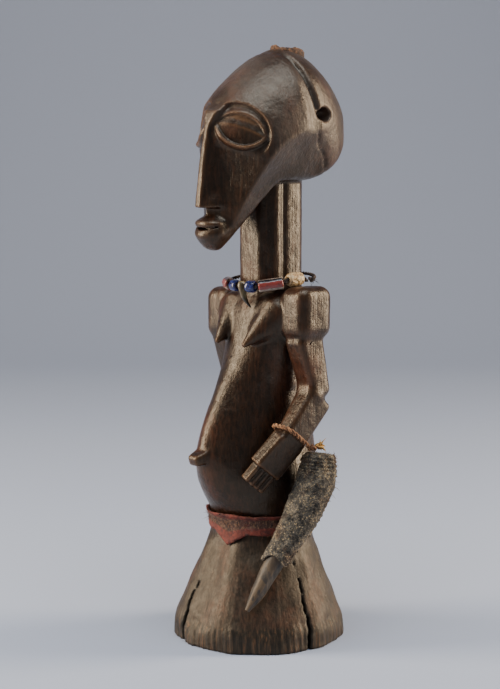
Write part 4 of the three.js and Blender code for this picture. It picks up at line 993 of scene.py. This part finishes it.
def build_cover():
    s = Shader("crusted_hide")
    grit = s.noise(1100, 5, 0.7)
    lumps = s.noise(230, 4, 0.62)
    colour = s.steps(s.mixed(grit, 0.5, lumps, 0.5),
                     (0.36, (0.010, 0.008, 0.006)), (0.46, (0.042, 0.035, 0.027)),
                     (0.54, (0.10, 0.085, 0.065)), (0.64, (0.24, 0.19, 0.13)))
    warm = s.times(s.band(s.noise(70, 3, 0.6), 0.5, 0.64), 0.6)
    colour = s.blend(warm, colour, s.steps(grit, (0.4, (0.03, 0.014, 0.008)), (0.62, (0.15, 0.075, 0.034))))
    specks = s.times(s.band(s.noise(1300, 3, 0.6), 0.56, 0.64), s.band(lumps, 0.4, 0.56))
    colour = s.blend(s.times(specks, 0.9), colour, (0.48, 0.35, 0.18))
    height = s.plus(grit, s.times(lumps, 0.8))
    finish = s.finish(colour, 0.88, s.bump(height, 0.0011, 1.0))
    route = horn_route()
    sides = 200
    end = HORN["cover_end"]
    a_row = full_turn(sides)
    lobe = 0.02 * np.sin(3 * a_row + 1) + 0.05 * bell(np.angle(np.exp(1j * (a_row - 2.6))), 0.5)
    rows = []
    for u in np.linspace(0, 1, 230):
        reach = end * u * (1 + (lobe - 0.04) * ramp(0.6, 1, u))
        base = route.at(reach, a_row, cover_radius(np.full(sides, u), a_row))
        crust = rough(base, 6, 31, 3) * 0.32 + rough(base, 1.8, 37, 3) * 0.3
        crumbs = np.maximum(rough(base, 1.1, 43, 2) - 0.35, 0) * 0.8
        crust = crust + 0.55 * rough(base * [1, 1, 1.4], 3.2, 47, 2) * ramp(0.3, 0.12, u)
        wrap = 0.25 * np.sin(reach * 260 + 2 * np.sin(a_row)) * ramp(0.3, 0.14, u)
        r = cover_radius(np.full(sides, u), a_row) + crust + crumbs + wrap - 0.25
        rows.append(route.at(reach, a_row, r * ramp(-0.02, 0.03, u) ** 0.35))
    last = end * (1 + lobe - 0.04)
    inner = between(HORN_RADII, last)
    rows.append(route.at(last + 0.002, a_row, inner + 0.75))
    for u in np.linspace(0, 1, 30):
        reach = mix(last, np.full(sides, HORN["start"] - 0.01), u)
        rows.append(route.at(reach, a_row, between(HORN_RADII, reach) + 0.38))
    verts, tris = skin(np.array(rows))
    declare(mesh_object("horn_cover_crust", verts, tris, finish), "horn_cover")
    rng = np.random.default_rng(5)
    count = COVER_HAIRS
    u, a = rng.beta(0.8, 4, count) * 0.95, rng.uniform(0, 2 * math.pi, count)
    roots = route.at(end * u, a, cover_radius(u, a) - 0.1)
    out = roots - route.at(end * u, a, np.zeros(count))
    ways = out / np.linalg.norm(out, axis=1)[:, None] + rng.normal(0, 0.8, (count, 3)) + [0, 0, 0.2]
    verts, tris = strands(roots, ways, rng.uniform(0.6, 1.9, count), 0.1, 6)
    hair = hair_material("cover_hair", ((0.35, (0.03, 0.018, 0.011)), (0.55, (0.13, 0.07, 0.03)),
                                        (0.72, (0.32, 0.2, 0.09))), 260, 0.85)
    declare(mesh_object("horn_cover_hair", verts, tris, hair), "horn_cover")


def wrist_loop():
    frame_ = FOREARM_FRAME[1]
    across = np.cross(frame_["axis"], [1, 0, 0])
    across /= np.linalg.norm(across)
    side = np.cross(across, frame_["axis"])
    loop = []
    for angle in full_turn(20):
        way = math.cos(angle) * side + math.sin(angle) * across
        r = np.arange(3, 14, 0.05)
        p = np.array(CORD["wrist"]) + r[:, None] * way
        clear = figure_field(*p.T) >= CORD["radius"] + CORD["clear"]
        loop.append(p[np.argmax(clear)])
    return np.array(loop)


def fibre_material(name, dark, mid, light):
    s = Shader(name)
    grain = s.noise(1500, 4, 0.65)
    patch = s.noise(160, 3, 0.6)
    value = s.mixed(grain, 0.6, patch, 0.4)
    colour = s.steps(value, (0.36, dark), (0.5, mid), (0.64, light))
    return s.finish(colour, 0.85, s.bump(grain, 0.0004, 0.8))


def declare_cord(path):
    path = path[np.linspace(0, len(path) - 1, 40).astype(int)] * MM


def build_cord():
    fibre = fibre_material("cord_fibre", (0.06, 0.022, 0.009), (0.2, 0.085, 0.035), (0.42, 0.22, 0.1))
    loop = wrist_loop()
    first = int(np.argmax(loop[:, 0] - loop[:, 2]))
    loop = np.roll(loop, -first, axis=0)
    low = loop[0]
    if (loop[1] - low)[1] > 0:
        loop = np.roll(loop[::-1], 1, axis=0)
    whole = spline(np.vstack([CORD_END[::-1], [low + [0.8, 2.4, -1]], loop[:-1]]), np.linspace(0, 1, 280))
    verts, tris = twine(whole, CORD["radius"], 5.2, 3)
    knot_path = np.array([low + [math.cos(a) * 1.1, math.sin(a) * 1.1 + 0.9, 0.8 * math.sin(2 * a) - 0.3]
                          for a in np.linspace(0, 5.6, 40)])
    cord = declare(mesh_object("wrist_cord_twine", verts, tris, fibre), "wrist_cord")
    knot = mesh_object("wrist_cord_knot", *twine(knot_path, CORD["radius"] * 0.8, 4, 4), fibre)
    declare(knot, "wrist_cord")
    tuft = fibre_material("tuft_fibre", (0.2, 0.09, 0.02), (0.5, 0.28, 0.07), (0.75, 0.5, 0.18))
    rng = np.random.default_rng(9)
    end = np.array(CORD_END[1])
    roots = end + rng.normal(0, 0.9, (TUFT_HAIRS, 3)) * [1, 1, 0.5] + [0, 0.6, 0.2]
    ways = rng.normal(0, 1, (TUFT_HAIRS, 3)) + [0.5, -0.2, 0.6]
    verts, tris = strands(roots, ways, rng.uniform(1.4, 3, TUFT_HAIRS), 0.5, 12)
    tuft = declare(mesh_object("wrist_cord_tuft", verts, tris, tuft), "wrist_cord")
    declare_cord(whole)


def ring_point(angle):
    a = math.radians(angle)
    return NECKLACE["radius"] * math.sin(a), NECKLACE["y"] - NECKLACE["radius"] * math.cos(a)


def resting_height(angle, radius):
    x, y = ring_point(angle)
    hanging = NECKLACE["height"] - NECKLACE["front_drop"] * math.cos(math.radians(angle))
    z = np.arange(hanging + 15, hanging - 0.1, -0.1)
    stop = figure_field(np.full(z.shape, x), np.full(z.shape, y), z) <= radius + NECKLACE["clear"]
    return z[np.argmax(stop)] if stop.any() else hanging


def bead_ends(start, end, radius):
    ends = np.array([[*ring_point(a), resting_height(a, radius)] for a in (start, end)])
    while True:
        p = ends[0] + (ends[1] - ends[0]) * np.array([[0], [0.25], [0.5], [0.75], [1]])
        if (figure_field(*p.T) > radius + NECKLACE["clear"]).all():
            return ends
        ends[:, 2] += 0.1


def build_necklace():
    ends = {name: bead_ends(a, b, r) for name, a, b, r in BEADS}
    top_z = max(resting_height(a, 3) for a in (2.5, CLAW["angle"], 14.8))
    top = np.array([*ring_point(CLAW["angle"]), top_z])
    path = []
    for name, *_ in BEADS:
        if name == "bead_blue_left":
            path.append(top)
        path.extend(ends[name])
    back = [np.array([*ring_point(a), resting_height(a, STRING_RADIUS)]) for a in range(104, 318, 15)]
    whole = np.array(back[1:] + path + back[:1])
    smooth = spline(whole, np.linspace(0, 1, 700))
    knot = np.array([*ring_point(KNOT_ANGLE), resting_height(KNOT_ANGLE, 2.2)])
    string = fibre_material("dark_string", (0.014, 0.009, 0.007), (0.045, 0.028, 0.02), (0.12, 0.08, 0.055))
    turns = [knot + [1.1 * math.cos(a), 1.1 * math.sin(a), 0.7 * math.sin(2 * a)]
             for a in np.linspace(0, 9.5, 60)]
    rng = np.random.default_rng(3)
    roots = knot + rng.normal(0, 0.6, (KNOT_HAIRS, 3))
    ways = rng.normal(0, 1, (KNOT_HAIRS, 3)) + [0.4, 0.4, 0]
    hairs = strands(roots, ways, rng.uniform(1, 2.6, KNOT_HAIRS), 0.13, 8)
    twine_ = mesh_object("necklace_twine", *twine(smooth, STRING_RADIUS * 0.95, 4, 5), string)
    declare(twine_, "necklace_string")
    tie = mesh_object("necklace_knot", *merged([twine(np.array(turns), 0.8, 3, 6), hairs]), string)
    declare(tie, "necklace_string")
    pieces = [build_bead(name, ends[name], radius) for name, _, _, radius in BEADS]
    pieces += [build_claw(top), tie]
    declare_cord(smooth)


STRIPES = [(0.24, 0.035, 0.025), (0.4, 0.33, 0.27), (0.22, 0.03, 0.022), (0.012, 0.012, 0.016),
           (0.3, 0.26, 0.24), (0.08, 0.11, 0.18), (0.24, 0.035, 0.025), (0.36, 0.27, 0.22),
           (0.012, 0.012, 0.016), (0.26, 0.04, 0.03)]


def bead_material(name):
    s = Shader(name)
    if name == "bead_bone":
        n = s.plus(s.times(s.noise(420, 5, 0.6), 0.6), s.times(s.noise(1800, 3, 0.6), 0.4))
        colour = s.steps(n, (0.36, (0.09, 0.04, 0.015)), (0.46, (0.42, 0.25, 0.11)),
                         (0.56, (0.68, 0.5, 0.28)), (0.7, (0.8, 0.66, 0.42)))
        return s.finish(colour, 0.42, s.bump(n, 0.0006, 0.9))
    grime = s.noise(800, 4, 0.6)
    if name.startswith("bead_blue"):
        colour = s.steps(grime, (0.36, (0.005, 0.006, 0.02)), (0.5, (0.012, 0.018, 0.10)),
                         (0.68, (0.03, 0.045, 0.22)))
        return s.finish(colour, 0.2, s.bump(grime, 0.0002, 0.5), Coat_Weight=0.4, Coat_Roughness=0.12)
    stripe = s.add("ShaderNodeAttribute", attribute_name="stripe").outputs["Color"]
    dirty = s.times(s.band(grime, 0.5, 0.68), 0.55)
    colour = s.blend(dirty, stripe, (0.06, 0.035, 0.025))
    return s.finish(colour, 0.24, s.bump(grime, 0.0002, 0.5), Coat_Weight=0.35, Coat_Roughness=0.15)


def build_bead(name, ends, radius):
    a, b = ends
    length = np.linalg.norm(b - a) - 0.9
    half = length / 2
    axis = (b - a) / np.linalg.norm(b - a)
    bulge = 0.12 * radius if name == "bead_bone" else 0.0
    along = np.linspace(-1, 1, 46)
    edge = 0.8 / half
    round_ = np.sqrt(np.clip(1 - np.maximum(np.abs(along) - 1 + edge, 0) ** 2 / edge ** 2, 0, 1))
    outer = radius - bulge * along ** 2 - (1 - round_) * 0.9
    if name.startswith("bead_blue"):
        outer = radius - 0.55 * along ** 4
    s = np.concatenate([along, [1, 0.9, -0.9, -1]]) * half
    r = np.concatenate([outer, [BEAD_BORE + 0.35, BEAD_BORE - 0.1, BEAD_BORE - 0.1, BEAD_BORE + 0.35]])
    e1 = np.cross(axis, [0, 0, 1])
    e1 /= np.linalg.norm(e1)
    e2 = np.cross(axis, e1)
    turn = full_turn(90)
    centre = (a + b) / 2 + s[:, None] * axis
    grid = centre[:, None] + r[:, None, None] * (np.cos(turn)[:, None] * e1 + np.sin(turn)[:, None] * e2)
    flat = grid.reshape(-1, 3)
    size = 0.42 if name == "bead_bone" else 0.12
    dent = np.abs(rough(flat, 2.6 if name == "bead_bone" else 4, 51, 3)) * size
    out = flat - np.repeat(centre, len(turn), 0)
    far = np.linalg.norm(out, axis=1)
    flat = flat - out / far[:, None] * (dent * (far > BEAD_BORE + 0.5))[:, None]
    verts, tris = skin(flat.reshape(grid.shape), loop=True)
    full_name = "bead_bone_disc" if name == "bead_bone" else name + "_glass"
    obj = mesh_object(full_name, verts, tris, bead_material(name))
    if name in ("bead_striped", "bead_brown"):
        turns = np.tile(turn, len(s)) / (2 * math.pi) * len(STRIPES) + 0.3 * rough(verts, 5, 61, 2)
        colours = np.array(STRIPES)
        if name == "bead_brown":
            colours = colours * [0.75, 0.6, 0.55] + [0.05, 0.02, 0.015]
        i = np.floor(turns).astype(int)
        f = ramp(0.86, 1, turns - i)[:, None]
        rgb = colours[i % len(STRIPES)] * (1 - f) + colours[(i + 1) % len(STRIPES)] * f
        layer = obj.data.attributes.new("stripe", "FLOAT_COLOR", "POINT")
        layer.data.foreach_set("color", np.hstack([rgb, np.ones((len(rgb), 1))]).ravel())
    return declare(obj, name)


def build_claw(top):
    s = Shader("claw")
    streak = s.noise(420, 4, 0.6, at=(1, 1, 0.3))
    tip = s.band(s.axis(2), 0.1765, 0.1715)
    colour = s.steps(streak, (0.36, (0.035, 0.024, 0.01)), (0.5, (0.14, 0.1, 0.045)),
                     (0.64, (0.34, 0.27, 0.14)))
    colour = s.blend(s.times(tip, 0.9), colour, (0.012, 0.009, 0.006))
    finish = s.finish(colour, 0.28, s.bump(streak, 0.0003, 0.6), Coat_Weight=0.3, Coat_Roughness=0.2)
    x, z = CLAW["tip"]
    y = np.arange(-40, 0, 0.1)
    near = figure_field(np.full(y.shape, x), y, np.full(y.shape, z)) <= 0.6 + NECKLACE["clear"]
    tip_at = np.array([x, y[np.argmax(near)], z])
    middle = [mix(top[0], x, 0.5), mix(top[1], tip_at[1], 0.5) - 1, mix(top[2], z, 0.55)]
    line = spline([top + [0, 0, 2.6], top, middle, tip_at], np.linspace(0, 1, 80))
    route = Route(line, (math.cos(0.15), math.sin(0.15), 0))
    t, a = np.meshgrid(np.linspace(0, 1, 80), full_turn(40), indexing="ij")
    root = np.sqrt(np.maximum(1 - ((0.35 - t) / 0.4) ** 2, 0.05))
    size = np.where(t < 0.35, root, 1 - 0.82 * ((t - 0.35) / 0.65))
    r = size / np.hypot(np.cos(a) / CLAW["width"], np.sin(a) / CLAW["thickness"])
    r = r * (1 - 0.05 * np.maximum(np.cos(4 * a), 0)) - 0.08
    verts, tris = skin(route.at(t, a, r))
    return declare(mesh_object("claw_horn", verts, tris, finish), "claw_pendant")


build_plug()
build_belt()
build_horn()
build_cover()
build_cord()
build_necklace()


# Studio
CAMERA = dict(azimuth=50, pitch=8.04, distance=0.9, height=0.275, aside=0.0046, lens=94.7)
FLOOR_FRONT = 2.5
FLOOR_BACK = -0.9
SWEEP_RADIUS = 0.7
WALL_TOP = 2.8
BACKDROP_HALF_WIDTH = 3


def camera():
    azimuth, pitch = math.radians(CAMERA["azimuth"]), math.radians(CAMERA["pitch"])
    distance, height, aside = CAMERA["distance"], CAMERA["height"], CAMERA["aside"]
    right = Vector((math.cos(azimuth), math.sin(azimuth), 0))
    spot = Vector((distance * math.sin(azimuth), -distance * math.cos(azimuth), height)) - right * aside
    level = math.cos(pitch)
    ahead = Vector((-math.sin(azimuth) * level, math.cos(azimuth) * level, -math.sin(pitch)))
    data = bpy.data.cameras.new("camera")
    data.lens = CAMERA["lens"]
    data.sensor_fit = "AUTO"
    data.sensor_width = 36
    data.clip_end = 20
    cam = bpy.data.objects.new("camera", data)
    cam.location = spot
    cam.rotation_euler = ahead.to_track_quat("-Z", "Y").to_euler()
    bpy.context.scene.collection.objects.link(cam)
    bpy.context.scene.camera = cam
    return right, ahead


def area_light(name, aim, spot, size, power, colour):
    data = bpy.data.lights.new(name, "AREA")
    data.shape = "RECTANGLE"
    data.size, data.size_y = size
    data.energy = power
    data.color = colour
    lamp = bpy.data.objects.new(name, data)
    lamp.location = spot
    lamp.rotation_euler = (Vector(aim) - Vector(spot)).to_track_quat("-Z", "Y").to_euler()
    bpy.context.scene.collection.objects.link(lamp)


def studio():
    right, ahead = camera()
    towards = Vector((-ahead.x, -ahead.y, 0)).normalized()
    middle = Vector((0, 0, 0.15))
    at = lambda r, t, up: tuple(right * r + towards * t + Vector((0, 0, up)))
    area_light("left_box", middle, at(-0.95, 0.05, 0.4), (0.4, 1.0), 22, (1.0, 0.87, 0.7))
    area_light("right_box", middle, at(0.95, -0.1, 0.38), (0.32, 1.0), 22, (1.0, 0.85, 0.66))
    area_light("top_box", middle, at(0.0, 0.25, 1.15), (0.8, 0.6), 11, (0.84, 0.92, 1.0))
    world = bpy.data.worlds.new("world")
    world.use_nodes = True
    world.node_tree.nodes["Background"].inputs["Color"].default_value = (0.75, 0.79, 0.88, 1)
    world.node_tree.nodes["Background"].inputs["Strength"].default_value = 0.22
    bpy.context.scene.world = world
    s = Shader("backdrop")
    paper = s.finish((0.36, 0.40, 0.50), 0.9)
    rows = [(t, 0.0) for t in np.linspace(FLOOR_FRONT, FLOOR_BACK, 12)]
    rows += [(FLOOR_BACK - SWEEP_RADIUS * math.sin(a), SWEEP_RADIUS - SWEEP_RADIUS * math.cos(a))
             for a in np.linspace(0.1, math.pi / 2, 14)]
    wall = FLOOR_BACK - SWEEP_RADIUS
    rows += [(wall, 0.9), (wall, WALL_TOP)]
    sides = (-BACKDROP_HALF_WIDTH, BACKDROP_HALF_WIDTH)
    verts = [tuple(np.array(at(r, t, up)) / MM) for t, up in rows for r in sides]
    faces = [(2 * i, 2 * i + 1, 2 * i + 3, 2 * i + 2) for i in range(len(rows) - 1)]
    floor = mesh_object("backdrop", verts, faces, paper)
    floor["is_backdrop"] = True


studio()
BOUNDS_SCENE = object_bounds()
as_lists = lambda b: [[float(c) for c in corner] for corner in b]
{"after_load": as_lists(BOUNDS_FRAME), "before_finish": as_lists(BOUNDS_SCENE)}
